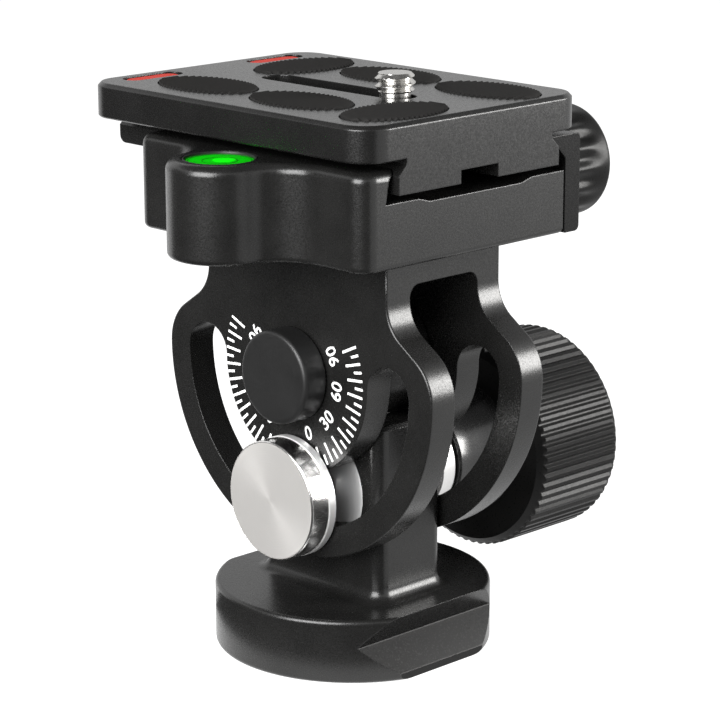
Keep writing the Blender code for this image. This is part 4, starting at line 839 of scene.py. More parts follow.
def make_lock_knob():
    """Straight teeth with narrow grooves, which run out on the near chamfer, and a smooth conical hub."""
    pitch = 2 * math.pi / KNURL_COUNT
    angles = [pitch * (tooth + share) for tooth in range(KNURL_COUNT) for share, depth in KNURL_SHAPE]
    ridges = [LOCK_KNOB_RADIUS - KNURL_DEPTH * depth for _ in range(KNURL_COUNT) for share, depth in KNURL_SHAPE]
    start, end, chamfer = LOCK_KNOB_START, LOCK_KNOB_END, LOCK_KNOB_CHAMFER
    rings = []

    def ring(y, limit):
        radii = [min(r, limit) for r in ridges]
        rings.append([(r * math.sin(a), y, BOLT_HEIGHT + r * math.cos(a)) for r, a in zip(radii, angles)])

    steps = 6
    for step in range(steps + 1):
        part = step / steps
        ring(start + chamfer * part, LOCK_KNOB_RADIUS - chamfer * (1 - part))
    for step in range(steps + 1):
        angle = math.pi / 2 * step / steps
        ring(end - 1.0 + 1.0 * math.sin(angle), LOCK_KNOB_RADIUS - 1.0 * (1 - math.cos(angle)))
    knob = lofted("knurled_knob", rings)
    centre = (0, 0, BOLT_HEIGHT)
    hub = [
        (0, start + OVERRUN),
        (LOCK_KNOB_HUB_FAR, start + OVERRUN),
        (LOCK_KNOB_HUB_FAR, start),
        (LOCK_KNOB_HUB_NEAR, LOCK_KNOB_HUB_START + COLLAR_THICKNESS),
        (LOCK_KNOB_HUB_NEAR, LOCK_KNOB_HUB_START + 0.3),
        (LOCK_KNOB_HUB_NEAR - 0.3, LOCK_KNOB_HUB_START),
        (0, LOCK_KNOB_HUB_START),
    ]
    join(knob, turned("hub", hub, centre, ALONG_Y))
    insert_start = LOCK_KNOB_HUB_START + FIT_GAP
    cut(knob, rod("hole", (0, LOCK_KNOB_HUB_START - OVERRUN, BOLT_HEIGHT), ALONG_Y, INSERT_RADIUS + FIT_GAP,
                  INSERT_LENGTH + OVERRUN + 2 * FIT_GAP))
    cut(knob, rod("hole", (0, insert_start, BOLT_HEIGHT), ALONG_Y, BOLT_RADIUS + FIT_GAP,
                  BOLT_REACH + OVERRUN - insert_start))
    recess = KNOB_CAP_THICKNESS + FIT_GAP
    cut(knob, rod("recess", (0, end - recess, BOLT_HEIGHT), ALONG_Y, LOCK_KNOB_CAP_RADIUS + FIT_GAP,
                  recess + OVERRUN))
    finished(knob, KNOB_BLACK, "lock_knob", "lock_knob", slot="black_anodised", sharp=math.radians(26))
    knob.data.materials.append(GLOSS_BLACK)
    for face in knob.data.polygons:
        if face.center.y < (start - FIT_GAP / 2) * METRES:
            face.material_index = 1
    make_end_cap("lock_knob_disc", end, BOLT_HEIGHT, LOCK_KNOB_CAP_RADIUS, "lock_knob", "lock_knob_cap")


def make_end_cap(name, end, height, radius, body, node):
    """A plain pressed disc with a shallow dish, let into a knob's end."""
    low = end - KNOB_CAP_THICKNESS
    profile = [
        (0, end - 0.30),
        (radius * 0.72, end - 0.30),
        (radius * 0.78, end - 0.02),
        (radius - 0.35, end),
        (radius - 0.08, end - 0.10),
        (radius, end - 0.35),
        (radius, low),
        (0, low),
    ]
    finished(turned(name, profile, (0, 0, height), ALONG_Y), BLACK_PLASTIC, body, node, slot="black_plastic")


# Yoke and its dial

def yoke_outline():
    inner, outer = SHOULDER_RISES
    corners = [
        (0, YOKE_TOP, 0),
        (NECK_HALF_X, YOKE_TOP, 0),
        (NECK_HALF_X, PIVOT_HEIGHT + inner, SHOULDER_FILLETS[0]),
        (CHEEK_RADIUS, PIVOT_HEIGHT + outer, SHOULDER_FILLETS[1]),
        (CHEEK_RADIUS, PIVOT_HEIGHT, 0),
    ]
    right = rounded(corners, 14)[1:]
    right += arc(0, PIVOT_HEIGHT, CHEEK_RADIUS, 0, -math.pi / 2, 60)[1:]
    left = [(-x, z) for x, z in reversed(right[:-1])]
    return right + left


def slot_outline(inner, outer, steps=80):
    middle = (inner + outer) / 2
    half = (outer - inner) / 2
    angles = [TILT_LIMIT * (2 * step / steps - 1) for step in range(steps + 1)]
    points = [from_pivot(outer, angle) for angle in angles]
    x, z = from_pivot(middle, TILT_LIMIT)
    points += arc(x, z, half, TILT_LIMIT - math.pi / 2, TILT_LIMIT + math.pi / 2, 20)[1:-1]
    points += [from_pivot(inner, angle) for angle in reversed(angles)]
    x, z = from_pivot(middle, -TILT_LIMIT)
    turn = math.pi / 2 - TILT_LIMIT
    points += arc(x, z, half, turn, turn + math.pi, 20)[1:-1]
    return points


def make_yoke():
    yoke = extruded("tilting_yoke", yoke_outline(), -YOKE_OUTER_Y, YOKE_OUTER_Y, OUTLINE_IN_XZ, YOKE_EDGE)
    below = PIVOT_HEIGHT - CHEEK_RADIUS - OVERRUN
    window = rounded([
        (-YOKE_INNER_Y, below, 0),
        (YOKE_INNER_Y, below, 0),
        (YOKE_INNER_Y, WEB_UNDERSIDE, WINDOW_CORNER),
        (-YOKE_INNER_Y, WEB_UNDERSIDE, WINDOW_CORNER),
    ])
    reach = CHEEK_RADIUS + OVERRUN
    cut(yoke, extruded("window", window, -reach, reach, ALONG_X))
    wide = YOKE_OUTER_Y + OVERRUN
    inner, outer = SLOT_RADII
    cut(yoke, extruded("slots", slot_outline(inner, outer), -wide, wide, OUTLINE_IN_XZ))
    cut(yoke, rod("bores", (0, -wide, PIVOT_HEIGHT), ALONG_Y, SHAFT_RADIUS + FIT_GAP, 2 * wide))
    for side in (-1, 1):
        cut(yoke, rod("hole", (side * YOKE_SCREW_X, LEVEL_MIDDLE_Y, WEB_UNDERSIDE - OVERRUN), ALONG_Z,
                      YOKE_SCREW_RADIUS + FIT_GAP, YOKE_TOP - WEB_UNDERSIDE + 2 * OVERRUN, 32))
    finished(yoke, BLACK, "head", "yoke", slot="black_anodised")


def make_dial():
    """White ticks every five degrees each way from level, on the near side plate."""
    face = -YOKE_OUTER_Y
    bm = bmesh.new()
    for side in (-1, 1):
        for step in range(DIAL_SPAN // DIAL_STEP + 1):
            angle = side * math.radians(DIAL_ZERO + step * DIAL_STEP)
            length = TICK_SHORT if step % 2 else TICK_LONG
            across = Vector((math.cos(angle), 0, math.sin(angle))) * (TICK_WIDTH / 2)
            corners = []
            for radius, turn in ((TICK_OUTER, 1), (TICK_OUTER, -1), (TICK_OUTER - length, -1),
                                 (TICK_OUTER - length, 1)):
                x, z = from_pivot(radius, angle)
                corners.append(Vector((x + DIAL_SHIFT, 0, z)) + across * turn)
            front = [bm.verts.new(c + Vector((0, face - PRINT_PROUD, 0))) for c in corners]
            back = [bm.verts.new(c + Vector((0, face + PRINT_PROUD, 0))) for c in corners]
            bm.faces.new(front)
            bm.faces.new(reversed(back))
            for index in range(4):
                after = (index + 1) % 4
                bm.faces.new((front[index], front[after], back[after], back[index]))
    finished(draft("dial_ticks", mesh_from("dial_ticks", bm)), PRINT, "head", slot="black_anodised")
    for side, numerals in (("right", NUMERALS_RIGHT), ("left", NUMERALS_LEFT)):
        for text, degrees in numerals:
            make_numeral(text, math.radians(degrees), side)


def make_numeral(text, angle, side):
    """One printed number, its foot towards the slot."""
    curve = bpy.data.curves.new("numeral", "FONT")
    curve.body = text
    curve.size = NUMERAL_SIZE
    curve.align_x = "CENTER"
    curve.align_y = "CENTER"
    curve.extrude = PRINT_PROUD
    curve.offset = NUMERAL_BOLD
    curve.space_character = 1.05
    drawn = bpy.data.objects.new("numeral", curve)
    bpy.context.scene.collection.objects.link(drawn)
    graph = bpy.context.evaluated_depsgraph_get()
    mesh = bpy.data.meshes.new_from_object(drawn.evaluated_get(graph))
    bpy.data.objects.remove(drawn, do_unlink=True)
    weld(mesh)
    x, z = from_pivot(NUMERAL_RADIUS, angle)
    lean = Matrix.Rotation(-angle, 4, "Y")
    mesh.transform(Matrix.Translation((x + DIAL_SHIFT, -YOKE_OUTER_Y, z)) @ lean @ OUTLINE_IN_XZ)
    finished(draft(f"dial_{text}_{side}", mesh), PRINT, "head", slot="black_anodised")


# Clamp body, level and loose jaw

def clamp_outline(inset):
    """The clamp body from above, moved in from its full size by inset."""
    fillet_y = CLAMP_FRONT - BOSS_FILLET
    apart = BOSS_RADIUS + BOSS_FILLET
    fillet_x = math.sqrt(apart * apart - (fillet_y - BOSS_Y) ** 2)
    lean = math.atan2(fillet_y - BOSS_Y, fillet_x)
    side = CLAMP_HALF_X - inset
    right = rounded([
        (0, CLAMP_BACK - inset, 0),
        (side, CLAMP_BACK - inset, 0.1),
        (side, CLAMP_FRONT + inset, CLAMP_CORNER - inset),
        (fillet_x, CLAMP_FRONT + inset, 0),
    ], 12)[1:-1]
    right += arc(fillet_x, fillet_y, BOSS_FILLET + inset, math.pi / 2, math.pi + lean, 24)
    right += arc(0, BOSS_Y, BOSS_RADIUS - inset, lean, -math.pi / 2, 36)[1:]
    left = [(-x, y) for x, y in reversed(right[:-1])]
    return right + left


def make_clamp():
    rings = []
    for radius, rim, way in ((CLAMP_LOW_ROUNDING, CLAMP_BOTTOM, 1), (CLAMP_TOP_ROUNDING, CLAMP_TOP, -1)):
        edge = []
        for step in range(7):
            angle = math.pi / 2 * step / 6
            outline = clamp_outline(radius * (1 - math.cos(angle)))
            edge.append(at_height(outline, rim + way * radius * (1 - math.sin(angle))))
        rings += edge[::-way]
    clamp = lofted("clamp_block", rings)
    above = CLAMP_TOP + OVERRUN
    past = CLAMP_BACK + OVERRUN
    ramp = FLOOR_GROOVE_RAMP
    channel = [
        (LIP_TIP + OVERRUN, above),
        (LIP_TIP - LIP_HEIGHT, CLAMP_TOP - LIP_HEIGHT),
        (JAW_ROOT, CLAMP_FLOOR),
        (FLOOR_GROOVE[0] - ramp, CLAMP_FLOOR),
        (FLOOR_GROOVE[0], GROOVE_FLOOR),
        (FLOOR_GROOVE[1], GROOVE_FLOOR),
        (FLOOR_GROOVE[1] + ramp, CLAMP_FLOOR),
        (past, CLAMP_FLOOR),
        (past, above),
    ]
    reach = CLAMP_HALF_X + OVERRUN
    cut(clamp, extruded("channel", channel, -reach, reach, ALONG_X))
    cut(clamp, rod("pocket", (0, BOSS_Y, CLAMP_TOP - LEVEL_DEPTH), ALONG_Z, LEVEL_RADIUS + SEAM_GAP,
                   LEVEL_DEPTH + OVERRUN, 96))
    cut(clamp, rod("hole", (0, CLAMP_BACK - CLAMP_SCREW_DEPTH - FIT_GAP, CLAMP_SCREW_HEIGHT), ALONG_Y,
                   CLAMP_SCREW_RADIUS + FIT_GAP, CLAMP_SCREW_DEPTH + FIT_GAP + OVERRUN))
    for side in (-1, 1):
        cut(clamp, rod("hole", (side * PIN_X, CLAMP_BACK - PIN_DEPTH - FIT_GAP, PIN_HEIGHT), ALONG_Y,
                       PIN_RADIUS + FIT_GAP, PIN_DEPTH + FIT_GAP + OVERRUN))
        x = side * YOKE_SCREW_X
        cut(clamp, rod("hole", (x, LEVEL_MIDDLE_Y, CLAMP_BOTTOM - OVERRUN), ALONG_Z,
                       YOKE_SCREW_RADIUS + FIT_GAP, CLAMP_FLOOR - CLAMP_BOTTOM + OVERRUN, 32))
        seat = GROOVE_FLOOR - 3.0
        cut(clamp, rod("hole", (x, LEVEL_MIDDLE_Y, seat), ALONG_Z, YOKE_SCREW_HEAD + FIT_GAP,
                       CLAMP_FLOOR - seat + OVERRUN, 48))
    finished(clamp, BLACK, "head", "clamp_body", slot="black_anodised")


def make_level():
    """A bull's-eye level: black cup, green fluid with its bubble, and a crowned lens."""
    centre = (0, BOSS_Y, 0)
    inside = LEVEL_RADIUS - LEVEL_WALL
    low = CLAMP_TOP - LEVEL_DEPTH + FIT_GAP
    top = CLAMP_TOP
    cup = [
        (inside, top - 0.35),
        (inside + 0.08, top - 0.04),
        (LEVEL_RADIUS - 0.08, top),
        (LEVEL_RADIUS, top - 0.08),
        (LEVEL_RADIUS, low),
        (0, low),
        (0, low + 0.7),
        (inside, low + 0.7),
    ]
    finished(turned("level_ring", cup, centre, ALONG_Z, tube=True), BLACK_PLASTIC, "head", "level_cup", slot="black_plastic")
    glass = inside - 0.05
    fluid_top = top - 0.42
    fluid = [
        (0, fluid_top - 0.05),
        (glass * 0.6, fluid_top - 0.03),
        (glass - 0.2, fluid_top),
        (glass, fluid_top - 0.1),
        (glass, low + 0.8),
        (0, low + 0.8),
    ]
    # Painted glow: the fluid's finish gives off light, though it is no lamp.
    finished(turned("level_fluid_green", fluid, centre, ALONG_Z), GREEN_PAINTED_GLOW, "head", "level_fluid",
             slot="level_green")
    bubble = [
        (0, fluid_top + 0.10),
        (1.1, fluid_top + 0.08),
        (1.75, fluid_top - 0.01),
        (1.75, fluid_top - 0.12),
        (0, fluid_top - 0.12),
    ]
    # Painted glow: the bubble's finish gives off light, though it is no lamp.
    finished(turned("level_bubble", bubble, (0, BOSS_Y + 0.9, 0), ALONG_Z, 48), BUBBLE_PAINTED_GLOW, "head",
             "level_fluid", slot="level_green")
    for name, radius, width in (("level_circle", 2.6, 0.16), ("level_edge_line", glass - 0.55, 0.14)):
        ring = [
            (radius, fluid_top + 0.02),
            (radius + width, fluid_top + 0.02),
            (radius + width, fluid_top - 0.08),
            (radius, fluid_top - 0.08),
        ]
        finished(turned(name, ring, centre, ALONG_Z, tube=True), DARK_GREEN, "head", "level_fluid",
                 slot="level_green")
    lens = [
        (0, top - 0.02),
        (glass * 0.5, top - 0.06),
        (glass * 0.85, top - 0.18),
        (glass, top - 0.30),
        (glass, top - 0.34),
        (0, top - 0.30),
    ]
    finished(turned("level_dome", lens, centre, ALONG_Z), CLEAR, "head", "level_lens", slot="clear_plastic")


def make_jaw():
    tip = JAW_TOP - 0.35
    foot = JAW_TIP + (tip - 80.5) - 0.0
    profile = rounded([
        (JAW_FRONT, CLAMP_BOTTOM, 0.2),
        (JAW_BACK, CLAMP_BOTTOM, JAW_ROUNDING),
        (JAW_BACK, JAW_TOP, JAW_ROUNDING),
        (JAW_TIP + 0.1, JAW_TOP, 0.12),
        (JAW_TIP + 0.1, tip, 0.12),
        (JAW_FRONT, tip - (JAW_FRONT - JAW_TIP - 0.1), 0.2),
    ], 6)
    jaw = lofted("loose_jaw", [[(x, y, z) for y, z in profile] for x in (-CLAMP_HALF_X, CLAMP_HALF_X)])
    start = JAW_FRONT - OVERRUN
    through = JAW_BACK - JAW_FRONT + 2 * OVERRUN
    cut(jaw, rod("hole", (0, start, CLAMP_SCREW_HEIGHT), ALONG_Y, CLAMP_SCREW_RADIUS + FIT_GAP, through))
    for side in (-1, 1):
        cut(jaw, rod("hole", (side * PIN_X, start, PIN_HEIGHT), ALONG_Y, PIN_RADIUS + FIT_GAP, through))
    finished(jaw, JAW_BLACK, "jaw", "movable_jaw", slot="black_anodised")


def make_clamp_knob():
    """Sixteen shallow flutes that run out before a smooth rim."""
    per_flute = 12
    depths = [0.5 - 0.5 * math.cos(2 * math.pi * index / per_flute) for index in range(per_flute)]
    start, end = CLAMP_KNOB_START, CLAMP_KNOB_END
    flute_end = end - CLAMP_KNOB_RIM
    rings = []

    def ring(y, amount, limit):
        radii = [min(CLAMP_KNOB_RADIUS - FLUTE_DEPTH * amount * depth, limit)
                 for _ in range(FLUTE_COUNT) for depth in depths]
        rings.append(round_axis(y, CLAMP_SCREW_HEIGHT, radii))

    for step in range(6):
        angle = math.pi / 2 * step / 5
        ring(start + 0.9 * (1 - math.cos(angle)), 1.0, CLAMP_KNOB_RADIUS - 0.9 * (1 - math.sin(angle)))
    for step in range(13):
        share = step / 12
        ring(flute_end - FLUTE_RUNOUT * (1 - share), 0.5 + 0.5 * math.cos(math.pi * share), CLAMP_KNOB_RADIUS)
    for step in range(6):
        angle = math.pi / 2 * step / 5
        ring(end - 0.8 + 0.8 * math.sin(angle), 0.0, CLAMP_KNOB_RADIUS - 0.8 * (1 - math.cos(angle)))
    knob = lofted("fluted_knob", rings)
    join(knob, rod("neck", (0, CLAMP_KNOB_NECK_START, CLAMP_SCREW_HEIGHT), ALONG_Y, CLAMP_KNOB_NECK_RADIUS,
                   CLAMP_KNOB_START - CLAMP_KNOB_NECK_START + OVERRUN))
    recess = KNOB_CAP_THICKNESS + FIT_GAP
    screw_end = end - recess - OVERRUN
    cut(knob, rod("bore", (0, CLAMP_KNOB_NECK_START - OVERRUN, CLAMP_SCREW_HEIGHT), ALONG_Y,
                  CLAMP_SCREW_RADIUS + FIT_GAP, screw_end + FIT_GAP - CLAMP_KNOB_NECK_START + OVERRUN))
    cut(knob, rod("recess", (0, end - recess, CLAMP_SCREW_HEIGHT), ALONG_Y, CLAMP_KNOB_CAP_RADIUS + FIT_GAP,
                  recess + OVERRUN))
    finished(knob, KNOB_BLACK, "clamp_knob", "clamp_knob", slot="black_anodised")
    make_end_cap("clamp_knob_disc", end, CLAMP_SCREW_HEIGHT, CLAMP_KNOB_CAP_RADIUS, "clamp_knob",
                 "clamp_knob_cap")


# Quick-release plate and what is let into it

def make_plate():
    rings = []

    def ring(z, inset):
        outline = rounded_box(PLATE_LEFT + inset, PLATE_RIGHT - inset, PLATE_FRONT + inset, PLATE_BACK - inset,
                              PLATE_CORNER - inset, 14)
        rings.append(at_height(outline, z))

    ring(FLANGE_UNDERSIDE, 0.25)
    ring(FLANGE_UNDERSIDE + 0.25, 0)
    ring(PLATE_TOP - PLATE_CHAMFER - 0.1, 0)
    ring(PLATE_TOP - PLATE_CHAMFER, 0.03)
    ring(PLATE_TOP - 0.08, PLATE_CHAMFER - 0.08)
    ring(PLATE_TOP, PLATE_CHAMFER + 0.08)
    plate = lofted("camera_plate", rings)
    front, back = DOVETAIL
    throat = DOVETAIL_SHOULDER + DOVETAIL_BEVEL
    inside = FLANGE_UNDERSIDE + 1.4
    dovetail = [
        (front, DOVETAIL_UNDERSIDE),
        (back, DOVETAIL_UNDERSIDE),
        (back, DOVETAIL_SHOULDER),
        (back - DOVETAIL_BEVEL, throat),
        (back - DOVETAIL_BEVEL, inside),
        (front + DOVETAIL_BEVEL, inside),
        (front + DOVETAIL_BEVEL, throat),
        (front, DOVETAIL_SHOULDER),
    ]
    join(plate, extruded("dovetail", dovetail, PLATE_LEFT, PLATE_RIGHT, ALONG_X))
    under = DOVETAIL_UNDERSIDE - OVERRUN
    radius = DOVETAIL_END_ROUNDING
    outside = PLATE_LEFT - OVERRUN
    corner = [(outside, under), (PLATE_LEFT + radius, under)]
    corner += arc(PLATE_LEFT + radius, DOVETAIL_UNDERSIDE + radius, radius, -math.pi / 2, -math.pi, 8)
    corner += [(outside, DOVETAIL_UNDERSIDE + radius)]
    cut(plate, extruded("end_rounding", corner, PLATE_FRONT, -PLATE_FRONT, OUTLINE_IN_XZ))
    cut(plate, box("channel", (PLATE_LEFT - OVERRUN, CHANNEL_Y - CHANNEL_HALF_WIDTH, under),
                   (PLATE_RIGHT + OVERRUN, CHANNEL_Y + CHANNEL_HALF_WIDTH, DOVETAIL_UNDERSIDE + CHANNEL_DEPTH)))
    left, right, half, ceiling = POCKET
    pocket = rounded_box(left, right, CHANNEL_Y - half, CHANNEL_Y + half, WINDOW_CORNER)
    cut(plate, extruded("pocket", pocket, under, ceiling))
    left, right, half = SLOT
    slot = stadium((left + right) / 2, CHANNEL_Y, (right - left) / 2, half)
    cut(plate, extruded("slot", slot, under, PLATE_TOP + OVERRUN))
    floor = PLATE_TOP + PAD_PROUD - PAD_THICKNESS - FIT_GAP
    for x, y, along_x in PADS:
        radii = (PAD_LONG, PAD_SHORT) if along_x else (PAD_SHORT, PAD_LONG)
        outline = oval(x, y, radii[0] + 0.2, radii[1] + 0.2)
        cut(plate, extruded("recess", outline, floor, PLATE_TOP + OVERRUN))
    for x, y in RED_INSERTS:
        outline = stadium(x, y, RED_HALF_WIDTH, RED_HALF_LENGTH + RED_RECESS_SPARE)
        cut(plate, extruded("recess", outline, PLATE_TOP - RED_DEPTH, PLATE_TOP + OVERRUN))
    finished(plate, PLATE_BLACK, "plate", "quick_release_plate", slot="black_anodised")


def make_pads():
    """Oval rubber pads with round ribs across them, so that their long edges are scalloped."""
    top = PLATE_TOP + PAD_PROUD
    low = top - PAD_THICKNESS
    samples = 8
    ribs = round(2 * PAD_LONG / PAD_RIB_PITCH)
    pitch = 2 * PAD_LONG / ribs
    for number, (x, y, along_x) in enumerate(PADS, 1):
        rings = []
        for step in range(ribs * samples + 1):
            along = -PAD_LONG + pitch * step / samples
            along = max(-PAD_LONG + 0.08, min(PAD_LONG - 0.08, along))
            dip = abs(math.cos(math.pi * step / samples)) ** 1.6
            reach = PAD_SHORT * math.sqrt(1 - (along / PAD_LONG) ** 2) - 0.30 * dip
            reach = max(0.25, reach)
            crest = top - PAD_RIB_DEPTH * dip
            across = [
                (-reach, low),
                (-reach, crest - 0.32),
                (-reach + 0.08, crest - 0.12),
                (-reach + 0.22, crest),
                (0, crest),
                (reach - 0.22, crest),
                (reach - 0.08, crest - 0.12),
                (reach, crest - 0.32),
                (reach, low),
            ]
            if along_x:
                rings.append([(x + along, y + side, z) for side, z in across])
            else:
                rings.append([(x + side, y + along, z) for side, z in across])
        pad = lofted(f"ribbed_pad_{number}", rings)
        finished(pad, RUBBER, "plate", f"rubber_pad_{number}", slot="rubber", sharp=math.radians(50))


def make_red_inserts():
    for number, (x, y) in enumerate(RED_INSERTS, 1):
        half_x = RED_HALF_WIDTH - 0.12
        half_y = RED_HALF_LENGTH - 0.12
        rings = []
        top = PLATE_TOP - RED_SUNK
        for z, inset in ((PLATE_TOP - RED_DEPTH + FIT_GAP, 0), (top - 0.25, 0), (top - 0.08, 0.08), (top, 0.3)):
            rings.append(at_height(stadium(x, y, half_x - inset, half_y - inset), z))
        insert = lofted(f"red_plug_{number}", rings)
        finished(insert, RED, "plate", f"red_insert_{number}", slot="red_plastic")


def make_camera_screw():
    """The camera thread, rolled as a real helix, on its necked shank and slotted head."""
    sides = 72
    thread_low = PLATE_TOP + SCREW_NECK
    rings = []

    def ring(radius, z):
        rings.append([(SCREW_X + radius * math.cos(2 * math.pi * s / sides),
                       CHANNEL_Y + radius * math.sin(2 * math.pi * s / sides), z) for s in range(sides)])

    def threaded(z, limit):
        made = []
        for side in range(sides):
            turn = side / sides
            phase = ((z - thread_low) / SCREW_PITCH - turn) % 1.0
            depth = max(0.0, 1 - abs(2 * phase - 1) * 1.15)
            radius = min(SCREW_RADIUS - SCREW_THREAD_DEPTH * depth ** 0.8, limit)
            angle = 2 * math.pi * turn
            made.append((SCREW_X + radius * math.cos(angle), CHANNEL_Y + radius * math.sin(angle), z))
        rings.append(made)

    head_low, head_top = SCREW_HEAD
    ring(SCREW_HEAD_RADIUS - 0.3, head_low)
    ring(SCREW_HEAD_RADIUS, head_low + 0.3)
    ring(SCREW_HEAD_RADIUS, head_top - 0.2)
    ring(SCREW_HEAD_RADIUS - 0.2, head_top)
    ring(SCREW_SHANK, head_top)
    ring(SCREW_SHANK, thread_low - 0.05)
    steps = 56
    height = SCREW_TIP - SCREW_CHAMFER - thread_low
    for step in range(steps + 1):
        z = thread_low + height * step / steps
        rise = (z - thread_low) * 1.4
        threaded(z, min(SCREW_RADIUS, SCREW_SHANK + 0.1 + rise))
    for step in range(1, 8):
        part = step / 7
        threaded(SCREW_TIP - SCREW_CHAMFER * (1 - part), SCREW_RADIUS - SCREW_CHAMFER * part)
    ring(SCREW_RADIUS - SCREW_CHAMFER - 0.5, SCREW_TIP)
    screw = lofted("threaded_camera_screw", rings)
    cut(screw, box("drive", (SCREW_X - SCREW_HEAD_RADIUS - OVERRUN, CHANNEL_Y - SCREW_DRIVE / 2, head_low - OVERRUN),
                   (SCREW_X + SCREW_HEAD_RADIUS + OVERRUN, CHANNEL_Y + SCREW_DRIVE / 2, head_low + SCREW_DRIVE)))
    finished(screw, SCREW_STEEL, "camera_screw", "camera_screw", slot="turned_steel")


CARRIED_FINISHES = {
    "pivot_shaft": STEEL,
    "pivot_washer_near": BRONZE,
    "pivot_washer_far": BRONZE,
    "lock_bolt": STEEL,
    "slot_bush_near": STEEL,
    "slot_bush_far": STEEL,
    "lock_knob_insert": BRASS,
    "yoke_screw_1": STEEL,
    "yoke_screw_2": STEEL,
    "guide_pin_1": STEEL,
    "guide_pin_2": STEEL,
    "clamp_screw": STEEL,
    "clamp_washer": STEEL,
    "screw_carriage": STEEL,
}


def finish_carried_nodes():
    """Gives each CAD node that is shown as it is its procedural finish."""
    for name, finish in CARRIED_FINISHES.items():
        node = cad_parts[name]
        node.data.materials.clear()
        node.data.materials.append(finish)
        node.data.shade_smooth()
        node.data.set_sharp_from_angle(angle=SHARP_ANGLE)


# Studio: floor, white surroundings, soft boxes and the dark cards that black metal reflects

def seen_directly(nodes, links):
    """1 for rays from the camera, from a mirror or through glass, and 0 for the rest."""
    path = nodes.new("ShaderNodeLightPath")
    first = nodes.new("ShaderNodeMath")
    first.operation = "MAXIMUM"
    second = nodes.new("ShaderNodeMath")
    second.operation = "MAXIMUM"
    links.new(path.outputs["Is Camera Ray"], first.inputs[0])
    links.new(path.outputs["Is Glossy Ray"], first.inputs[1])
    links.new(first.outputs[0], second.inputs[0])
    links.new(path.outputs["Is Transmission Ray"], second.inputs[1])
    return second.outputs[0]


def make_world(level):
    world = bpy.data.worlds.new("studio")
    bpy.context.scene.world = world
    world.use_nodes = True
    nodes, links = world.node_tree.nodes, world.node_tree.links
    nodes.clear()
    output = nodes.new("ShaderNodeOutputWorld")
    light = nodes.new("ShaderNodeBackground")
    light.inputs["Strength"].default_value = level
    white = nodes.new("ShaderNodeBackground")
    white.inputs["Color"].default_value = (1, 1, 1, 1)
    mix = nodes.new("ShaderNodeMixShader")
    links.new(seen_directly(nodes, links), mix.inputs[0])
    links.new(light.outputs[0], mix.inputs[1])
    links.new(white.outputs[0], mix.inputs[2])
    links.new(mix.outputs[0], output.inputs[0])


def make_floor(colour, glow):
    bm = bmesh.new()
    bmesh.ops.create_circle(bm, cap_ends=True, segments=96, radius=6.0)
    floor = bpy.data.objects.new("floor", mesh_from("floor", bm))
    bpy.context.scene.collection.objects.link(floor)
    floor.location.z = -0.0001
    made = bpy.data.materials.new("pale_floor")
    made.use_nodes = True
    nodes, links = made.node_tree.nodes, made.node_tree.links
    nodes.clear()
    output = nodes.new("ShaderNodeOutputMaterial")
    matt = nodes.new("ShaderNodeBsdfDiffuse")
    matt.inputs["Color"].default_value = (*colour, 1)
    light = nodes.new("ShaderNodeEmission")
    strength = nodes.new("ShaderNodeMath")
    strength.operation = "MULTIPLY"
    strength.inputs[1].default_value = glow
    links.new(seen_directly(nodes, links), strength.inputs[0])
    links.new(strength.outputs[0], light.inputs["Strength"])
    both = nodes.new("ShaderNodeAddShader")
    links.new(matt.outputs[0], both.inputs[0])
    links.new(light.outputs[0], both.inputs[1])
    links.new(both.outputs[0], output.inputs["Surface"])
    floor.data.materials.append(made)


def towards(azimuth, elevation):
    a, e = math.radians(azimuth), math.radians(elevation)
    return Vector((math.sin(a) * math.cos(e), -math.cos(a) * math.cos(e), math.sin(e)))


MIDDLE = Vector((0.0, 0.0, 0.050))


def soft_box(name, azimuth, elevation, distance, width, height, radiance, colour=(1.0, 1.0, 1.0), middle=MIDDLE):
    """A lamp that looks at the object, hidden from the camera, as bright as radiance where it is reflected."""
    lamp = bpy.data.lights.new(name, "AREA")
    lamp.shape = "RECTANGLE"
    lamp.size = width
    lamp.size_y = height
    lamp.energy = radiance * math.pi * width * height
    lamp.color = colour
    made = bpy.data.objects.new(name, lamp)
    bpy.context.scene.collection.objects.link(made)
    made.location = middle + towards(azimuth, elevation) * distance
    made.rotation_euler = (-towards(azimuth, elevation)).to_track_quat("-Z", "Y").to_euler()
    made.visible_camera = False
    return made


def upright_box(name, azimuth, distance, low, high, width, radiance, colour=(1.0, 1.0, 1.0)):
    """A lamp standing on the floor, from one height to another."""
    middle = Vector((0, 0, (low + high) / 2))
    return soft_box(name, azimuth, 0, distance, width, high - low, radiance, colour, middle)


def make_cards(name, first, last, radius, height, shade, roof=False):
    """A table top and a wall beyond it, or a roof, in a plain shade that only reflections see."""
    made = bpy.data.materials.new(name)
    made.use_nodes = True
    nodes, links = made.node_tree.nodes, made.node_tree.links
    nodes.clear()
    output = nodes.new("ShaderNodeOutputMaterial")
    light = nodes.new("ShaderNodeEmission")
    light.inputs["Color"].default_value = (shade, shade, shade, 1)
    links.new(light.outputs[0], output.inputs["Surface"])
    bm = bmesh.new()
    steps = 40
    rows = []
    for step in range(steps + 1):
        way = towards(first + (last - first) * step / steps, 0)
        near = way * 0.030
        far = way * radius
        floor = height if roof else 0.0001
        row = [bm.verts.new((near.x, near.y, floor)), bm.verts.new((far.x, far.y, floor))]
        if not roof:
            row.append(bm.verts.new((far.x, far.y, height)))
        rows.append(row)
    for one, two in zip(rows, rows[1:]):
        for index in range(len(one) - 1):
            bm.faces.new((one[index], two[index], two[index + 1], one[index + 1]))
    mesh = bpy.data.meshes.new(name)
    bm.to_mesh(mesh)
    bm.free()
    mesh.materials.append(made)
    card = bpy.data.objects.new(name, mesh)
    bpy.context.scene.collection.objects.link(card)
    card.visible_camera = False
    card.visible_diffuse = False
    card.visible_shadow = False
    card.visible_transmission = False


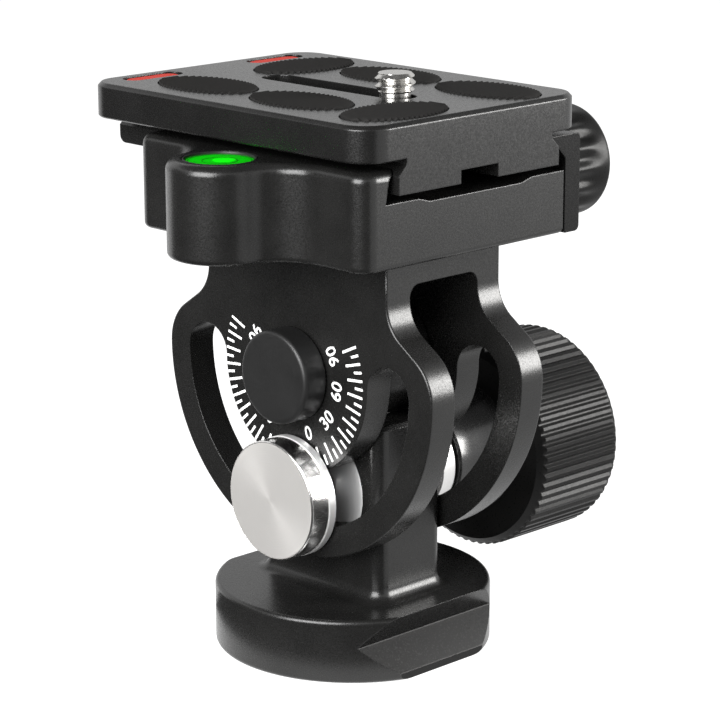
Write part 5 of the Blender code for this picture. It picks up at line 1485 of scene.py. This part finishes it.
def make_camera_screw():
    """The camera thread, rolled as a real helix, on its necked shank and slotted head."""
    sides = 72
    thread_low = PLATE_TOP + SCREW_NECK
    rings = []

    def ring(radius, z):
        rings.append([(SCREW_X + radius * math.cos(2 * math.pi * s / sides),
                       CHANNEL_Y + radius * math.sin(2 * math.pi * s / sides), z) for s in range(sides)])

    def threaded(z, limit):
        made = []
        for side in range(sides):
            turn = side / sides
            phase = ((z - thread_low) / SCREW_PITCH - turn) % 1.0
            depth = max(0.0, 1 - abs(2 * phase - 1) * 1.15)
            radius = min(SCREW_RADIUS - SCREW_THREAD_DEPTH * depth ** 0.8, limit)
            angle = 2 * math.pi * turn
            made.append((SCREW_X + radius * math.cos(angle), CHANNEL_Y + radius * math.sin(angle), z))
        rings.append(made)

    head_low, head_top = SCREW_HEAD
    ring(SCREW_HEAD_RADIUS - 0.3, head_low)
    ring(SCREW_HEAD_RADIUS, head_low + 0.3)
    ring(SCREW_HEAD_RADIUS, head_top - 0.2)
    ring(SCREW_HEAD_RADIUS - 0.2, head_top)
    ring(SCREW_SHANK, head_top)
    ring(SCREW_SHANK, thread_low - 0.05)
    steps = 56
    height = SCREW_TIP - SCREW_CHAMFER - thread_low
    for step in range(steps + 1):
        z = thread_low + height * step / steps
        rise = (z - thread_low) * 1.4
        threaded(z, min(SCREW_RADIUS, SCREW_SHANK + 0.1 + rise))
    for step in range(1, 8):
        part = step / 7
        threaded(SCREW_TIP - SCREW_CHAMFER * (1 - part), SCREW_RADIUS - SCREW_CHAMFER * part)
    ring(SCREW_RADIUS - SCREW_CHAMFER - 0.5, SCREW_TIP)
    screw = lofted("threaded_camera_screw", rings)
    cut(screw, box("drive", (SCREW_X - SCREW_HEAD_RADIUS - OVERRUN, CHANNEL_Y - SCREW_DRIVE / 2, head_low - OVERRUN),
                   (SCREW_X + SCREW_HEAD_RADIUS + OVERRUN, CHANNEL_Y + SCREW_DRIVE / 2, head_low + SCREW_DRIVE)))
    finished(screw, SCREW_STEEL, "camera_screw", "camera_screw", slot="turned_steel")


CARRIED_FINISHES = {
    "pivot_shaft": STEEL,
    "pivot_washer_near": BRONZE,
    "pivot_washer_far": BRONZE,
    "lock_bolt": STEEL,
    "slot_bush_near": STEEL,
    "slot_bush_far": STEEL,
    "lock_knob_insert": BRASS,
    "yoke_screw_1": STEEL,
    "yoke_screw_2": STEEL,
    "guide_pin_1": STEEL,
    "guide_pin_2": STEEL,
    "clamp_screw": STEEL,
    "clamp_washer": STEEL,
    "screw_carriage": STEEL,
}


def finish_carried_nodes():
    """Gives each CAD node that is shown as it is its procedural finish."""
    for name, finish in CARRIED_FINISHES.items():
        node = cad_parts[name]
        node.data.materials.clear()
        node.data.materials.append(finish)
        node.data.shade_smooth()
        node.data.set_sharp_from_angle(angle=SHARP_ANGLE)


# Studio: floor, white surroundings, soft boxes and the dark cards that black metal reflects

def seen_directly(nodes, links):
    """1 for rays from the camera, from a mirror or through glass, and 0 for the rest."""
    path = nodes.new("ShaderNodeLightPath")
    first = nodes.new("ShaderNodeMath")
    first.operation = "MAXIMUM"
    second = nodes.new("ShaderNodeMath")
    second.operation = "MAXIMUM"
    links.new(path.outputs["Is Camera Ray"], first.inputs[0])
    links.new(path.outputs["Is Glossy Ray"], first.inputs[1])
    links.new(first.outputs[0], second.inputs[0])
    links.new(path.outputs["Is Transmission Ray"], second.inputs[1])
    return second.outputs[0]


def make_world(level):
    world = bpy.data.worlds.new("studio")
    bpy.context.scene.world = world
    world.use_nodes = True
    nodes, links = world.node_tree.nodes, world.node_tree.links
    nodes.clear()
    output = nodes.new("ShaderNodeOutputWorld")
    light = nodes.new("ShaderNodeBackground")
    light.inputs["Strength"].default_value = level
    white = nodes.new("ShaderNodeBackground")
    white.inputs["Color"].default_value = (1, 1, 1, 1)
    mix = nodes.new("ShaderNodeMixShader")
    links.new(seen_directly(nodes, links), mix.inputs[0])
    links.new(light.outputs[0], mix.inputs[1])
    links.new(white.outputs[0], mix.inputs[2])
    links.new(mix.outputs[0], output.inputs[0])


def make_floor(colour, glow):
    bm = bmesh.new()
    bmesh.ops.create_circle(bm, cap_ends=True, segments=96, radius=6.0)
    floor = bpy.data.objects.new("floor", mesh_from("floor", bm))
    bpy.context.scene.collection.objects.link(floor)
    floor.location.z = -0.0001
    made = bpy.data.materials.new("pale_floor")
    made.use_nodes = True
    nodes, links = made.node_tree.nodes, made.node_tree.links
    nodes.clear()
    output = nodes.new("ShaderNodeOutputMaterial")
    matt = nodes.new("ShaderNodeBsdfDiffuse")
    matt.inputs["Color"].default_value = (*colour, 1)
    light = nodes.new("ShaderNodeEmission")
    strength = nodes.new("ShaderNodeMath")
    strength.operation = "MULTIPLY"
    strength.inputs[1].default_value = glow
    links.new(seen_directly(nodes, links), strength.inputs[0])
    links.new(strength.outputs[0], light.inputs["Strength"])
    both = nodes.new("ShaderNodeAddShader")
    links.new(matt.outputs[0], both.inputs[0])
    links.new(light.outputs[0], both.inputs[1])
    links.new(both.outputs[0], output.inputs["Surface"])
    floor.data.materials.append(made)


def towards(azimuth, elevation):
    a, e = math.radians(azimuth), math.radians(elevation)
    return Vector((math.sin(a) * math.cos(e), -math.cos(a) * math.cos(e), math.sin(e)))


MIDDLE = Vector((0.0, 0.0, 0.050))


def soft_box(name, azimuth, elevation, distance, width, height, radiance, colour=(1.0, 1.0, 1.0), middle=MIDDLE):
    """A lamp that looks at the object, hidden from the camera, as bright as radiance where it is reflected."""
    lamp = bpy.data.lights.new(name, "AREA")
    lamp.shape = "RECTANGLE"
    lamp.size = width
    lamp.size_y = height
    lamp.energy = radiance * math.pi * width * height
    lamp.color = colour
    made = bpy.data.objects.new(name, lamp)
    bpy.context.scene.collection.objects.link(made)
    made.location = middle + towards(azimuth, elevation) * distance
    made.rotation_euler = (-towards(azimuth, elevation)).to_track_quat("-Z", "Y").to_euler()
    made.visible_camera = False
    return made


def upright_box(name, azimuth, distance, low, high, width, radiance, colour=(1.0, 1.0, 1.0)):
    """A lamp standing on the floor, from one height to another."""
    middle = Vector((0, 0, (low + high) / 2))
    return soft_box(name, azimuth, 0, distance, width, high - low, radiance, colour, middle)


def make_dark_cards(first, last, radius, height, shade):
    """A dark wall and table top round the front, which only reflections see."""
    made = bpy.data.materials.new("dark_card")
    made.use_nodes = True
    nodes, links = made.node_tree.nodes, made.node_tree.links
    nodes.clear()
    output = nodes.new("ShaderNodeOutputMaterial")
    light = nodes.new("ShaderNodeEmission")
    light.inputs["Color"].default_value = (shade, shade, shade, 1)
    links.new(light.outputs[0], output.inputs["Surface"])
    bm = bmesh.new()
    steps = 40
    rows = []
    for step in range(steps + 1):
        way = towards(first + (last - first) * step / steps, 0)
        near = way * 0.030
        far = way * radius
        rows.append([bm.verts.new((near.x, near.y, 0.0001)), bm.verts.new((far.x, far.y, 0.0001)),
                     bm.verts.new((far.x, far.y, height))])
    for one, two in zip(rows, rows[1:]):
        for index in range(2):
            bm.faces.new((one[index], two[index], two[index + 1], one[index + 1]))
    mesh = bpy.data.meshes.new("dark_cards")
    bm.to_mesh(mesh)
    bm.free()
    card = bpy.data.objects.new("dark_cards", mesh)
    bpy.context.scene.collection.objects.link(card)
    mesh.materials.append(made)
    card.visible_camera = False
    card.visible_diffuse = False
    card.visible_shadow = False
    card.visible_transmission = False


def make_camera():
    azimuth, elevation, roll = 45.638, 14.662, math.radians(-0.117)
    back = towards(azimuth, elevation)
    right = Vector((math.cos(math.radians(azimuth)), math.sin(math.radians(azimuth)), 0))
    up = back.cross(right)
    turned_right = math.cos(roll) * right + math.sin(roll) * up
    turned_up = math.cos(roll) * up - math.sin(roll) * right
    camera = bpy.data.objects.new("camera", bpy.data.cameras.new("camera"))
    bpy.context.scene.collection.objects.link(camera)
    camera.data.lens = 137.79
    camera.data.sensor_width = 36
    camera.data.clip_start = 0.01
    camera.data.clip_end = 50
    columns = (turned_right, turned_up, back, Vector((0.30719, -0.29864, 0.15890)))
    camera.matrix_world = Matrix([[*row] for row in zip(*columns)] + [[0, 0, 0, 1]])
    bpy.context.scene.camera = camera


make_camera()
make_foot()
make_stud_bushing()
make_pivot_caps()
make_lock_cap()
make_friction_washers()
make_lock_knob()
make_yoke()
make_dial()
make_clamp()
make_level()
make_jaw()
make_clamp_knob()
make_plate()
make_pads()
make_red_inserts()
make_camera_screw()
finish_carried_nodes()

make_world(0.36)
make_floor((0.50, 0.50, 0.50), 0.82)
soft_box("front_box", 11, 24, 0.60, 0.48, 0.40, 12.5)
soft_box("right_box", 137, 15, 0.60, 0.21, 0.27, 20.0, (1.0, 0.99, 0.97))
make_cards("front_wall", -72, 80, 0.74, 0.42, 0.08)
make_cards("right_table", 80, 195, 0.62, 0.001, 0.85)
make_cards("back_wall", 195, 250, 0.90, 0.50, 0.72)
make_cards("ceiling", 0, 360, 0.60, 0.56, 0.16, roof=True)

scene = bpy.context.scene
scene.view_settings.view_transform = "Standard"
